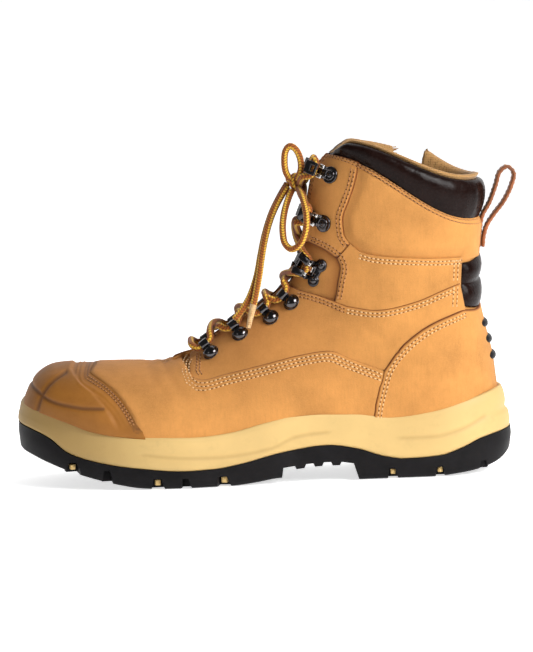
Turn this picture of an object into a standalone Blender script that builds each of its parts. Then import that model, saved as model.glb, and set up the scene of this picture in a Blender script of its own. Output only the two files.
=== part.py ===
"""Left safety boot: a hollow leather upper in a moulded midsole cup on a lugged rubber outsole.

Frame: metres, +Z up, toe at -X, heel at +X, lateral side at -Y, medial side at +Y.
Sizes below are in millimetres and are scaled by MM when a mesh is made.
"""
import math

import bmesh
import bpy
import numpy as np
from mathutils import Matrix, Vector

MM = 0.001
LATERAL = -1
MEDIAL = 1
SIDES = (LATERAL, MEDIAL)

# Driving sizes of the boot
TOE_X = -154.0
HEEL_X = 157.0
TOE_TIP_Y = 8.0
BALL_LATERAL = 57.0
BALL_MEDIAL = 53.0
HEEL_HALF_WIDTH = 43.0
WALL = 2.2
SEAT_GAP = 0.3
CUP_GAP = 0.4
OVERLAY_GAP = 0.6
OVERLAY = 1.4
OVERLAY_TOP = OVERLAY_GAP + OVERLAY
LACE_RADIUS = 2.1
FEATHER_INSET = 7.0
FEATHER_TOE_X = -147.0
FEATHER_HEEL_X = 148.5
TOE_POWER = 2.3
HEEL_POWER = 2.4

# Sole plan between ball and heel: x, half width
PLAN = {
    LATERAL: [(-45.0, BALL_LATERAL), (0.0, 50.5), (30.0, 46.0), (60.0, 43.8), (95.0, HEEL_HALF_WIDTH)],
    MEDIAL: [(-68.0, BALL_MEDIAL), (-20.0, 44.5), (20.0, 37.5), (50.0, 37.5), (95.0, HEEL_HALF_WIDTH - 1.0)],
}

# Heights along the boot: x, z
LIP = [(-152.0, 53.0), (-135.0, 48.5), (-120.0, 43.8), (-105.0, 38.0), (-88.0, 34.4), (-66.0, 32.0),
       (-42.0, 30.8), (-20.0, 32.5), (5.0, 38.0), (32.0, 42.4), (56.0, 41.3), (84.0, 37.6),
       (110.0, 40.2), (130.0, 46.3), (154.0, 54.0)]
JOINT = [(-156.0, 39.5), (-145.0, 36.7), (-133.0, 32.0), (-120.0, 22.6), (-97.0, 16.2), (-75.0, 13.0),
         (-48.0, 10.8), (-30.0, 11.2), (-14.0, 13.5), (14.0, 19.6), (40.0, 22.4), (60.0, 19.2),
         (73.0, 14.8), (88.0, 12.2), (110.0, 13.2), (124.0, 17.3), (137.0, 22.6), (158.0, 27.0)]
TREAD = [(-156.0, 22.5), (-145.0, 19.2), (-138.0, 16.6), (-120.0, 10.4), (-104.0, 6.0), (-90.0, 2.8),
         (-76.0, 0.6), (-62.0, 0.0), (-20.0, 0.0), (-5.0, 1.2), (11.0, 3.2), (55.0, 0.0),
         (108.0, 0.0), (124.0, 1.2), (134.0, 2.4), (145.0, 5.0), (154.0, 9.4), (158.0, 14.0)]
BED = [(-152.0, 33.0), (-130.0, 27.5), (-100.0, 21.5), (-60.0, 18.3), (-20.0, 19.0), (20.0, 24.5),
       (60.0, 30.0), (100.0, 31.5), (152.0, 32.5)]

# Fan of sections of the last, from the toe tip to the collar rim.
# A height of None rests on the bed; lateral and medial are half widths from mid.
SECTION_COLUMNS = ("top_x", "top_z", "low_x", "low_z", "mid", "lateral", "medial",
                   "peak", "top_power", "low_power", "sag", "skew")
SECTIONS = [
    (-146.9, None, -146.9, None, 7.0, 0.0, 0.0, 0.50, 2.4, 2.0, 0.0, 0.0),
    (-147.6, 42.0, -145.8, None, 7.0, 12.0, 10.6, 0.50, 2.4, 2.0, 0.0, 0.0),
    (-146.8, 50.0, -142.0, None, 7.0, 21.7, 17.8, 0.48, 2.4, 2.0, 0.0, 0.0),
    (-144.0, 58.0, -135.0, None, 7.0, 31.3, 24.6, 0.44, 2.4, 2.0, 0.0, 0.0),
    (-138.0, 66.5, -123.0, None, 6.0, 40.6, 32.8, 0.40, 2.4, 2.0, 0.0, 0.0),
    (-128.0, 71.0, -105.0, None, 5.0, 48.8, 39.8, 0.36, 2.4, 2.0, 0.0, 0.0),
    (-108.0, 72.0, -82.0, None, 3.5, 53.2, 44.4, 0.33, 2.3, 2.0, 0.0, 0.0),
    (-86.0, 72.0, -56.0, None, 2.0, 54.0, 45.6, 0.30, 2.2, 2.0, 0.0, 0.0),
    (-64.0, 71.3, -28.0, None, 1.0, 51.3, 42.5, 0.28, 2.05, 2.0, 0.0, 0.0),
    (-43.0, 78.0, -2.0, None, 0.5, 47.4, 39.5, 0.27, 1.95, 2.0, 0.0, 0.0),
    (-28.0, 89.5, 25.0, None, 0.0, 43.8, 37.0, 0.27, 1.9, 2.0, 0.0, 0.0),
    (-13.0, 99.3, 52.0, None, 0.0, 41.3, 37.0, 0.28, 1.9, 2.0, 0.0, 0.0),
    (0.0, 107.5, 80.0, None, 0.0, 40.0, 37.5, 0.30, 1.95, 2.0, 0.0, 0.0),
    (10.0, 114.3, 110.0, None, 0.0, 39.5, 38.3, 0.33, 2.0, 2.0, 0.0, 0.0),
    (17.0, 120.5, 136.0, None, 0.0, 40.0, 39.3, 0.37, 2.05, 2.1, 0.0, 0.0),
    (21.0, 126.5, 148.5, None, 0.0, 39.5, 39.0, 0.40, 2.1, 2.2, 0.0, 0.0),
    (23.5, 132.0, 148.4, 43.0, 0.0, 39.0, 38.8, 0.42, 2.1, 2.2, 0.0, 0.0),
    (25.5, 138.5, 147.2, 54.0, 0.0, 38.5, 38.5, 0.43, 2.1, 2.2, 0.0, 0.0),
    (28.0, 149.0, 145.3, 71.0, 0.0, 37.4, 37.4, 0.44, 2.1, 2.2, 0.0, 0.0),
    (30.3, 162.0, 140.7, 92.0, 0.0, 36.2, 36.2, 0.45, 2.1, 2.2, 0.0, 0.0),
    (32.8, 176.0, 137.6, 112.0, 0.0, 36.0, 36.0, 0.46, 2.15, 2.2, 0.0, 4.0),
    (37.0, 190.5, 138.3, 136.0, 0.0, 37.0, 37.0, 0.47, 2.2, 2.2, -0.6, 22.0),
    (46.0, 200.5, 140.6, 160.0, 0.0, 38.2, 38.2, 0.47, 2.3, 2.2, -1.8, 52.0),
    (50.0, 209.3, 141.6, 186.0, 0.0, 37.6, 37.6, 0.47, 2.4, 2.2, -0.4, 38.0),
    (51.5, 221.3, 142.4, 198.0, 0.0, 37.2, 37.2, 0.47, 2.4, 2.2, -0.4, 38.0),
]
CORNER_ROW = 15.0
HEEL_LIP_ROW = 16.8
THROAT_ROW = 9.0
EDGE_ROW = 22.0
RIM_ROW = 23.0

# Half width of the throat gap by section row
THROAT_GAP = [(0.0, 7.0), (9.0, 7.0), (15.0, 8.5), (20.0, 10.0), (24.0, 13.0)]

# Panel edges on the side of the upper: x, z, as far as the lip or the middle line
CAP_EDGE = [(-106.0, 68.5), (-101.5, 66.0), (-93.0, 61.0), (-86.0, 54.6), (-80.4, 47.2), (-75.8, 38.4)]
CAP_ROOF_X = -103.5
CAP_LIP_X = -73.2
FACING_FOOT = (-41.5, 64.8)
WING_EDGE = [(-36.3, 63.2), (-21.3, 66.7), (8.7, 73.6), (24.0, 77.2), (42.5, 79.7), (58.3, 73.8),
             (76.4, 66.8)]
COUNTER_FRONT = [(70.0, 46.0), (73.0, 56.7), (76.4, 66.8)]
COUNTER_TOP = [(76.4, 66.8), (88.1, 81.8), (105.3, 94.1), (126.2, 102.0)]
COUNTER_LIP_X = 68.6
COUNTER_BACK_Z = 105.5
QUARTER_TOP = [(26.3, 116.8), (39.0, 113.6), (55.5, 107.1), (73.8, 104.4), (95.8, 108.2), (114.5, 115.0),
               (124.7, 118.4)]
WINDOW_FOOT = (47.9, 111.3)
WINDOW_EDGE = [(47.9, 111.3), (50.3, 122.4), (52.2, 130.7), (50.3, 135.9)]
WINDOW_ROOF = [(33.5, 146.2), (43.8, 141.2), (50.3, 135.9)]
COLLAR_SEAM = [(65.0, 191.5), (62.9, 182.5), (58.9, 171.7), (54.8, 159.9), (55.5, 150.7), (58.9, 145.1)]
COLLAR_BASE = [(58.9, 145.1), (64.2, 140.3), (73.3, 137.7), (91.6, 135.7), (119.0, 134.4), (127.0, 134.4)]
PAD_FRONT = [(127.0, 131.0), (126.6, 127.7), (125.9, 116.6), (125.0, 104.5)]

# Zip on the medial side: z, x of its middle line, and the collar gap over it
ZIP_LINE = [(90.0, 93.6), (115.0, 95.0), (140.0, 97.0), (172.0, 99.3)]
COLLAR_GAP = (91.0, 108.0)

# Lace hardware on each side: x, z of its base, turned to the throat
RING_EYELETS = [(-29.1, 78.6), (-10.8, 89.6), (8.6, 99.4), (21.9, 108.6)]
LOCK_HOOK = (38.0, 127.4)
SPEED_HOOKS = [(43.7, 158.0), (48.9, 187.6)]

# Strap at the back, folded: x, z of its middle line
PULL_LOOP = [(139.9, 139.0), (141.2, 151.5), (143.0, 159.0), (147.4, 166.5), (151.6, 177.0), (154.6, 185.6),
             (159.4, 188.6), (163.2, 184.6), (161.6, 177.0), (156.4, 167.0), (150.4, 159.5), (145.6, 152.5),
             (143.4, 146.0), (142.5, 139.0)]
PULL_LOOP_WIDTH = 13.0
PULL_LOOP_THICK = 1.9

# Bow of the lace: x, y, z along each cord
KNOT = [(27.4, -4.6, 183.0), (23.2, -3.0, 184.0), (22.2, 0.4, 185.8), (23.4, 3.8, 185.8), (27.0, 5.4, 185.0)]
LOOP_UP = [(27.6, -7.8, 185.8), (30.0, -13.2, 192.0), (29.4, -14.6, 199.4), (26.6, -14.6, 204.8),
           (23.4, -14.2, 206.4), (20.8, -13.6, 203.6), (19.8, -12.4, 197.4), (20.4, -10.6, 190.6),
           (22.6, -8.4, 186.0)]
LOOP_DOWN = [(28.2, -8.4, 179.6), (29.4, -16.6, 177.0), (30.8, -25.0, 172.2), (32.2, -33.0, 163.4),
             (31.2, -36.0, 154.0), (27.6, -35.0, 146.4), (22.4, -32.0, 143.4), (18.4, -28.6, 146.6),
             (17.2, -24.0, 155.6), (18.6, -18.0, 165.4), (22.0, -11.0, 175.0), (23.8, -8.0, 178.4)]
END_ONE = [(21.2, -3.2, 180.9), (15.6, -6.0, 172.6), (10.6, -10.0, 163.0), (6.6, -15.0, 151.4),
           (3.8, -19.6, 139.2), (1.6, -24.0, 127.0), (-1.6, -28.6, 113.0), (-4.4, -31.6, 102.6),
           (-6.2, -33.4, 95.4)]
END_TWO = [(21.2, 2.0, 182.5), (14.4, -0.6, 175.0), (7.6, -4.4, 163.6), (2.4, -9.6, 150.0),
           (-0.8, -14.4, 136.6), (-3.4, -19.0, 123.6), (-6.8, -23.4, 113.0), (-10.4, -26.6, 106.0),
           (-14.6, -29.4, 101.0)]

# Lug grooves across the tread: x, turn in degrees, width
GROOVES = [(-128.0, 14.0, 5.5), (-103.0, 8.0, 5.0), (-70.5, 6.0, 6.5), (-42.5, -5.0, 5.0),
           (-15.0, -10.0, 6.5),
           (83.0, -4.0, 5.0), (106.0, 5.0, 5.0), (130.0, 12.0, 5.0)]
GROOVE_DEPTH = 5.5
GROOVE_WEB = 2.0
CHANNELS = [(-134.0, -6.0, 5.0), (64.0, 140.0, 0.0)]
CHANNEL_WIDTH = 7.0
ARCH = [(10.0, -6.0), (12.5, 9.6), (19.5, 10.4), (20.5, 8.4), (25.5, 8.8), (26.5, 11.2), (31.0, 11.5),
        (32.0, 9.4), (36.5, 9.6), (37.5, 11.8), (42.0, 11.8), (43.0, 9.6), (47.5, 9.6), (48.5, 11.6),
        (56.0, 10.4), (61.0, -6.0)]

COLOURS = {
    "black_rubber": ((0.016, 0.015, 0.016), 0.6, 0.0),
    "tan_foam": ((0.72, 0.50, 0.20), 0.55, 0.0),
    "nubuck": ((0.56, 0.29, 0.10), 0.85, 0.0),
    "cap_rubber": ((0.36, 0.18, 0.04), 0.6, 0.0),
    "dark_leather": ((0.03, 0.014, 0.010), 0.55, 0.0),
    "lining_mesh": ((0.42, 0.25, 0.10), 0.9, 0.0),
    "strap_leather": ((0.33, 0.12, 0.035), 0.6, 0.0),
    "black_nickel": ((0.05, 0.045, 0.045), 0.3, 1.0),
    "lace_cord": ((0.75, 0.42, 0.06), 0.8, 0.0),
    "zip_tape": ((0.05, 0.03, 0.02), 0.7, 0.0),
}


def clear_scene():
    for thing in list(bpy.data.objects):
        bpy.data.objects.remove(thing, do_unlink=True)


def material(name):
    known = bpy.data.materials.get(name)
    if known:
        return known
    colour, roughness, metallic = COLOURS[name]
    made = bpy.data.materials.new(name)
    made.use_nodes = True
    shader = made.node_tree.nodes["Principled BSDF"]
    shader.inputs["Base Color"].default_value = (*colour, 1.0)
    shader.inputs["Roughness"].default_value = roughness
    shader.inputs["Metallic"].default_value = metallic
    return made


# Curves and tables

def slopes(xs, ys):
    """Slopes of a smooth curve through the points that never overshoots them."""
    step = np.diff(xs)
    rise = np.diff(ys) / step
    slope = np.zeros(len(xs))
    slope[0] = rise[0]
    slope[-1] = rise[-1]
    for i in range(1, len(xs) - 1):
        if rise[i - 1] * rise[i] > 0:
            w1 = 2 * step[i] + step[i - 1]
            w2 = step[i] + 2 * step[i - 1]
            slope[i] = (w1 + w2) / (w1 / rise[i - 1] + w2 / rise[i])
    return slope


class Curve:
    """Smooth curve through a short table of x, z rows."""

    def __init__(self, rows):
        self.xs = np.array([row[0] for row in rows])
        self.ys = np.array([row[1] for row in rows])
        self.slopes = slopes(self.xs, self.ys)

    def __call__(self, x):
        x = min(max(x, self.xs[0]), self.xs[-1])
        i = min(int(np.searchsorted(self.xs, x, side="right")) - 1, len(self.xs) - 2)
        i = max(i, 0)
        span = self.xs[i + 1] - self.xs[i]
        t = (x - self.xs[i]) / span
        a = (1 + 2 * t) * (1 - t) ** 2 * self.ys[i]
        b = t * (1 - t) ** 2 * span * self.slopes[i]
        c = t * t * (3 - 2 * t) * self.ys[i + 1]
        d = t * t * (t - 1) * span * self.slopes[i + 1]
        return a + b + c + d


lip_height = Curve(LIP)
joint_height = Curve(JOINT)
tread_height = Curve(TREAD)
bed_height = Curve(BED)
throat_gap = Curve(THROAT_GAP)
zip_x = Curve(ZIP_LINE)
plan_width = {side: Curve(PLAN[side]) for side in SIDES}


def plan_edge(x, side, inset, toe_x, heel_x):
    """Signed y of the plan outline, moved in by inset, with round ends at toe_x and heel_x."""
    ball_x, ball_width = PLAN[side][0]
    heel_start, heel_width = PLAN[side][-1]
    if x < ball_x:
        share = min((ball_x - x) / (ball_x - toe_x), 1.0)
        reach = side * (ball_width - inset) - TOE_TIP_Y
        return TOE_TIP_Y + reach * (1.0 - share ** TOE_POWER) ** (1.0 / TOE_POWER)
    if x > heel_start:
        share = min((x - heel_start) / (heel_x - heel_start), 1.0)
        return side * (heel_width - inset) * (1.0 - share ** HEEL_POWER) ** (1.0 / HEEL_POWER)
    return side * (plan_width[side](x) - inset)


def feather_edge(x, side):
    return plan_edge(x, side, FEATHER_INSET, FEATHER_TOE_X, FEATHER_HEEL_X)


def section_table():
    """Section columns as curves over the section row."""
    columns = {}
    for index, name in enumerate(SECTION_COLUMNS):
        rows = []
        for number, row in enumerate(SECTIONS):
            value = row[index]
            if value is None:
                value = bed_height(row[SECTION_COLUMNS.index("low_x")]) + SEAT_GAP
            rows.append((float(number), value))
        columns[name] = Curve(rows)
    return columns


LAST = section_table()
LAST_ROW = float(len(SECTIONS) - 1)


def section_width(row, h, side):
    """Half width of the last at height share h of a section, measured from its mid line."""
    mid = LAST["mid"](row)
    full = LAST["lateral" if side == LATERAL else "medial"](row)
    if full <= 0.0:
        return 0.0
    peak = LAST["peak"](row)
    if h >= peak:
        power = LAST["top_power"](row)
        share = min((h - peak) / (1.0 - peak), 1.0)
        return full * (1.0 - share ** power) ** (1.0 / power)
    low = 0.0
    if row < CORNER_ROW:
        low = max(side * (feather_edge(LAST["low_x"](row), side) - mid), 0.0)
    power = LAST["low_power"](row)
    share = (peak - h) / peak
    keep = 1.0 - min(low / full, 1.0) ** power
    return full * (1.0 - keep * share ** power) ** (1.0 / power)


def section_point(row, phi, side):
    """Point of the last: row picks the section, phi runs 0 at its low end to 1 at its top."""
    h = 0.5 - 0.5 * math.cos(math.pi * phi)
    x = LAST["low_x"](row) + h * (LAST["top_x"](row) - LAST["low_x"](row))
    z = LAST["low_z"](row) + h * (LAST["top_z"](row) - LAST["low_z"](row))
    bow = h * (1.0 - h)
    z += 4.0 * bow * LAST["sag"](row) + bow * (2.0 * h - 1.0) * LAST["skew"](row)
    y = LAST["mid"](row) + side * section_width(row, h, side)
    return np.array((x, y, z))


def outward(row, phi, side):
    """Unit normal of the last, pointing out."""
    if row < 0.05:
        return np.array((-0.96, 0.0, -0.28))
    step = 0.01
    a = section_point(min(row + step, LAST_ROW), phi, side) - section_point(max(row - step, 0.0), phi, side)
    b = section_point(row, min(phi + step, 1.0), side) - section_point(row, max(phi - step, 0.0), side)
    normal = np.cross(a, b)
    size = np.linalg.norm(normal)
    if size < 1e-9:
        return np.array((0.0, side, 0.0))
    normal /= size
    middle = 0.5 * (section_point(row, 0.0, side) + section_point(row, 1.0, side))
    middle[1] = LAST["mid"](row)
    if np.dot(normal, section_point(row, phi, side) - middle) < 0:
        normal = -normal
    return normal


def lifted(row, phi, side, lift):
    """Point moved out from the last; the feather edge moves level, the middle lines stay in the middle."""
    normal = outward(row, phi, side)
    keep = np.ones(3)
    if phi > 0.9999 or (phi < 0.0001 and row >= CORNER_ROW):
        keep[1] = 0.0
    if phi < 0.0001 and row <= CORNER_ROW:
        keep[2] = 0.0
    normal = normal * keep
    return section_point(row, phi, side) + lift * normal / np.linalg.norm(normal)


def build_guesses():
    """Coarse map of the last, used to start a search."""
    guesses = {}
    for side in SIDES:
        rows = []
        for row in np.arange(0.5, LAST_ROW + 0.01, 0.5):
            for phi in np.linspace(0.0, 1.0, 25):
                rows.append((row, phi, *section_point(row, phi, side)))
        guesses[side] = np.array(rows)
    return guesses


GUESSES = build_guesses()


def mark(side, first, second, axes=(0, 2), among=None):
    """Section row and phi of the point whose coordinates on two axes are given."""
    table = GUESSES[side]
    cost = (table[:, 2 + axes[0]] - first) ** 2 + (table[:, 2 + axes[1]] - second) ** 2
    if among is not None:
        cost = np.where((table[:, 0] >= among[0]) & (table[:, 0] <= among[1]), cost, 1e9)
    row, phi = table[int(np.argmin(cost)), :2]
    goal = np.array((first, second))
    pick = list(axes)
    for _ in range(14):
        here = section_point(row, phi, side)[pick]
        step = 0.004
        phi_step = step if phi < 0.99 else -step
        along = (section_point(min(row + step, LAST_ROW), phi, side)[pick] - here) / step
        across = (section_point(row, phi + phi_step, side)[pick] - here) / phi_step
        turn = np.array((along, across)).T
        if abs(np.linalg.det(turn)) < 1e-9:
            break
        move = np.linalg.solve(turn, goal - here)
        move = np.clip(move, -0.6, 0.6)
        row = min(max(row + move[0], 0.02), LAST_ROW - 0.01)
        phi = min(max(phi + move[1], 0.0), 1.0)
    return (row, phi)


def lip_phi(row, side, rise=0.0):
    """phi where a section leaves the midsole, rise above the lip; None where it stays outside it."""
    low, high = 0.0, 1.0

    def above(phi):
        point = section_point(row, phi, side)
        return point[2] - lip_height(point[0]) - rise

    if above(0.0) >= 0.0:
        return 0.0
    if above(1.0) <= 0.0:
        return 1.0
    for _ in range(40):
        middle = 0.5 * (low + high)
        if above(middle) > 0.0:
            high = middle
        else:
            low = middle
    return high


def lip_mark(x, side, rise=0.5):
    """Section row and phi on the lip line at x."""
    low, high = 2.0, HEEL_LIP_ROW
    for _ in range(40):
        middle = 0.5 * (low + high)
        if section_point(middle, lip_phi(middle, side, rise), side)[0] < x:
            low = middle
        else:
            high = middle
    return (low, lip_phi(low, side, rise))


def roof_mark(x):
    """Section row on the middle line over the toe and vamp at x."""
    low, high = 1.5, THROAT_ROW
    for _ in range(40):
        middle = 0.5 * (low + high)
        if LAST["top_x"](middle) < x:
            low = middle
        else:
            high = middle
    return (low, 1.0)


def back_mark(z):
    """Section row on the middle line of the back at height z."""
    low, high = CORNER_ROW, LAST_ROW
    for _ in range(40):
        middle = 0.5 * (low + high)
        if LAST["low_z"](middle) < z:
            low = middle
        else:
            high = middle
    return (low, 0.0)


def gap_phi(row, side):
    """phi of the facing edge of a section."""
    low, high = 0.6, 1.0
    goal = throat_gap(row)
    for _ in range(40):
        middle = 0.5 * (low + high)
        h = 0.5 - 0.5 * math.cos(math.pi * middle)
        if section_width(row, h, side) > goal:
            low = middle
        else:
            high = middle
    return low


def facing_edge(side, first_row, last_row, count):
    return [(row, gap_phi(row, side)) for row in np.linspace(first_row, last_row, count)]


# Meshes

def new_object(name, mesh, paint):
    mesh.materials.append(material(paint))
    made = bpy.data.objects.new(name, mesh)
    bpy.context.scene.collection.objects.link(made)
    return made


def finish_mesh(shape, name, paint, smooth_angle=40.0):
    bmesh.ops.remove_doubles(shape, verts=shape.verts[:], dist=2e-6)
    bmesh.ops.dissolve_degenerate(shape, edges=shape.edges[:], dist=2e-6)
    bmesh.ops.recalc_face_normals(shape, faces=shape.faces[:])
    mesh = bpy.data.meshes.new(name)
    shape.to_mesh(mesh)
    shape.free()
    mesh.shade_smooth()
    mesh.set_sharp_from_angle(angle=math.radians(smooth_angle))
    return new_object(name, mesh, paint)


class Sheet:
    """Sheet on the last with an outer and an inner lift, closed into a thin solid."""

    def __init__(self):
        self.keys = {}
        self.outer = []
        self.inner = []
        self.faces = []

    def vertex(self, row, phi, side, outer_lift, inner_lift):
        on_middle = phi > 0.9999 or (phi < 0.0001 and row >= CORNER_ROW)
        if row < 0.001:
            key = (0.0, 0.0, 0)
        else:
            key = (round(row, 5), round(phi, 5), 0 if on_middle else side)
        if key not in self.keys:
            self.keys[key] = len(self.outer)
            self.outer.append(lifted(row, phi, side, outer_lift))
            self.inner.append(lifted(row, phi, side, inner_lift))
        return self.keys[key]

    def grid(self, points):
        """Triangles over a grid of vertex numbers, all split the same way."""
        for a, b in zip(points, points[1:]):
            for i in range(len(a) - 1):
                for corners in ((a[i], a[i + 1], b[i + 1]), (a[i], b[i + 1], b[i])):
                    if len(set(corners)) == 3:
                        self.faces.append(list(corners))

    def solid(self, name, paint):
        uses = {}
        for loop in self.faces:
            for a, b in zip(loop, loop[1:] + loop[:1]):
                edge = (min(a, b), max(a, b))
                uses[edge] = uses.get(edge, 0) + 1
        shape = bmesh.new()
        outer = [shape.verts.new(Vector(point) * MM) for point in self.outer]
        inner = [shape.verts.new(Vector(point) * MM) for point in self.inner]
        for loop in self.faces:
            shape.faces.new([outer[i] for i in loop])
            shape.faces.new([inner[i] for i in reversed(loop)])
        for (a, b), count in uses.items():
            if count == 1:
                shape.faces.new((outer[a], outer[b], inner[b], inner[a]))
        return finish_mesh(shape, name, paint)


def spaced(marks, side, count):
    """Evenly spaced marks along a run of marks."""
    points = [section_point(row, phi, side) for row, phi in marks]
    walk = [0.0]
    for a, b in zip(points, points[1:]):
        walk.append(walk[-1] + float(np.linalg.norm(b - a)))
    goals = np.linspace(0.0, walk[-1], count)
    rows = np.interp(goals, walk, [m[0] for m in marks])
    phis = np.interp(goals, walk, [m[1] for m in marks])
    return list(zip(rows, phis))


def coons(bottom, top, left, right):
    """Grid of marks inside four runs of marks; bottom and top run from left to right."""
    across = len(bottom)
    up = len(left)
    grid = []
    for j in range(up):
        v = j / (up - 1)
        line = []
        for i in range(across):
            u = i / (across - 1)
            value = []
            for k in (0, 1):
                edges = (1 - v) * bottom[i][k] + v * top[i][k] + (1 - u) * left[j][k] + u * right[j][k]
                corners = ((1 - u) * (1 - v) * bottom[0][k] + u * (1 - v) * bottom[-1][k]
                           + (1 - u) * v * top[0][k] + u * v * top[-1][k])
                value.append(edges - corners)
            line.append((value[0], min(max(value[1], 0.0), 1.0)))
        grid.append(line)
    return grid


def add_patch(sheet, side, grid, outer_lift=OVERLAY_TOP, inner_lift=OVERLAY_GAP):
    numbers = [[sheet.vertex(row, phi, side, outer_lift, inner_lift) for row, phi in line] for line in grid]
    sheet.grid(numbers)


MARK_STEP = 5.0


def side_marks(side, points):
    """Marks along a run of x, z points, close enough to keep the run straight."""
    marks = [mark(side, *points[0])]
    for a, b in zip(points, points[1:]):
        count = max(int(math.ceil(math.dist(a, b) / MARK_STEP)), 1)
        for i in range(1, count + 1):
            marks.append(mark(side, a[0] + (b[0] - a[0]) * i / count, a[1] + (b[1] - a[1]) * i / count))
    return marks


def apply_boolean(target, tool, operation):
    """Cut or join one object with another and drop the tool."""
    step = target.modifiers.new("joint", "BOOLEAN")
    step.operation = operation
    step.solver = "EXACT"
    step.object = tool
    bpy.context.view_layer.update()
    result = bpy.data.meshes.new_from_object(target.evaluated_get(bpy.context.evaluated_depsgraph_get()))
    target.modifiers.clear()
    target.data = result
    bpy.data.objects.remove(tool, do_unlink=True)
    return target


# Upper and what lies in it

UPPER_ROWS = [0.0, 0.6, 1.2, 2.0, 3.0, 4.0, 5.0, 6.0, 7.0, 8.0, 8.5, 8.75, THROAT_ROW, 9.5, 10.0, 11.0,
              12.0, 13.0, 13.6, 14.2, 14.6, 14.85, CORNER_ROW, 16.0, 17.0, 18.0, 19.0, 20.0, 21.0, EDGE_ROW]
UPPER_COLUMNS = 9


def upper_marks(row, side):
    edge = gap_phi(row, side)
    return [(row, edge * i / UPPER_COLUMNS) for i in range(UPPER_COLUMNS + 1)]


def make_upper():
    sheet = Sheet()
    for side in SIDES:
        lines = []
        for row in UPPER_ROWS:
            marks = upper_marks(row, side)
            if row <= THROAT_ROW:
                marks = marks + [(row, 1.0)]
            lines.append([sheet.vertex(*m, side, 0.0, -WALL) for m in marks])
        for a, b in zip(lines, lines[1:]):
            shared = min(len(a), len(b))
            sheet.grid([a[:shared], b[:shared]])
    return sheet.solid("upper", "nubuck")


def last_plug():
    """Closed form a little larger than the upper, which hollows the midsole."""
    shape = bmesh.new()
    rings = []
    rows = [row for row in UPPER_ROWS if row <= 18.0]
    for row in rows:
        ring = []
        for side in SIDES:
            marks = upper_marks(row, side) + [(row, 1.0)]
            line = []
            for number, (at, phi) in enumerate(marks):
                point = lifted(at, phi, side, CUP_GAP)
                if row == 0.0 or (number == 0 and row < CORNER_ROW):
                    point = point - np.array((0.0, 0.0, SEAT_GAP))
                line.append(shape.verts.new(Vector(point) * MM))
            ring.append(line)
        rings.append(ring)
    for a, b in zip(rings, rings[1:]):
        for k in (0, 1):
            for i in range(len(a[k]) - 1):
                shape.faces.new((a[k][i], a[k][i + 1], b[k][i + 1]))
                shape.faces.new((a[k][i], b[k][i + 1], b[k][i]))
        shape.faces.new((a[0][0], b[0][0], b[1][0], a[1][0]))
    last = rings[-1]
    for i in range(len(last[0]) - 1):
        shape.faces.new((last[0][i], last[0][i + 1], last[1][i + 1], last[1][i]))
    return finish_mesh(shape, "last_plug", "tan_foam")


TONGUE_ROWS = [8.5, THROAT_ROW, 10.0, 11.0, 12.0, 13.0, 14.2, 15.0, 16.0, 17.0, 18.0, 19.0, 20.0, 21.0,
               EDGE_ROW - 0.1]
TONGUE_COLUMNS = 3
TONGUE_THICK = 3.0
TONGUE_DEPTH = WALL + 1.2


def make_tongue():
    """Padded sheet behind the throat, on the same columns as the facings."""
    sheet = Sheet()
    for side in SIDES:
        lines = []
        for row in TONGUE_ROWS:
            marks = upper_marks(row, side)[-1 - TONGUE_COLUMNS:]
            edge = marks[-1][1]
            marks += [(row, 0.5 + 0.5 * edge), (row, 1.0)]
            lines.append([sheet.vertex(*m, side, -TONGUE_DEPTH, -TONGUE_DEPTH - TONGUE_THICK) for m in marks])
        sheet.grid(lines)
    return sheet.solid("tongue", "dark_leather")


# Sole

SOLE_STATIONS = 22


def sole_stations():
    return [0.5 - 0.5 * math.cos(math.pi * i / SOLE_STATIONS) for i in range(SOLE_STATIONS + 1)]


def sole_ring(shape, inset, toe_inset, heel_inset, height):
    """Ring of vertices round the sole, toe to heel on each side; height maps the station to z."""
    toe = TOE_X + toe_inset
    heel = HEEL_X - heel_inset
    ring = {}
    for side in SIDES:
        line = []
        for index, share in enumerate(sole_stations()):
            x = toe + (heel - toe) * share
            if side == MEDIAL and index in (0, SOLE_STATIONS):
                line.append(ring[LATERAL][index])
                continue
            y = plan_edge(x, side, inset, toe, heel)
            z = height(TOE_X + (HEEL_X - TOE_X) * share)
            line.append(shape.verts.new(Vector((x, y, z)) * MM))
        ring[side] = line
    return ring


def bridge(shape, low, high):
    for side in SIDES:
        for i in range(SOLE_STATIONS):
            shape.faces.new((low[side][i], low[side][i + 1], high[side][i + 1], high[side][i]))


def close_ring(shape, ring):
    for i in range(SOLE_STATIONS):
        loop = []
        for corner in (ring[LATERAL][i], ring[LATERAL][i + 1], ring[MEDIAL][i + 1], ring[MEDIAL][i]):
            if corner not in loop:
                loop.append(corner)
        shape.faces.new(loop)


def ring_stack(name, paint, levels):
    """Solid through rings; levels hold side inset, toe inset, heel inset and height."""
    shape = bmesh.new()
    rings = [sole_ring(shape, *level) for level in levels]
    for a, b in zip(rings, rings[1:]):
        bridge(shape, a, b)
    close_ring(shape, rings[0])
    close_ring(shape, rings[-1])
    return finish_mesh(shape, name, paint)


def between(share):
    """Height at a share of the way from the outsole joint to the lip."""
    return lambda x: joint_height(x) + share * (lip_height(x) - joint_height(x))


BUMPER = 3.0
FLOOR_THICK = 5.0


def core_height(x):
    """Underside of the midsole inside the outsole's rim."""
    return min(joint_height(x), bed_height(x) - FLOOR_THICK)


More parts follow.
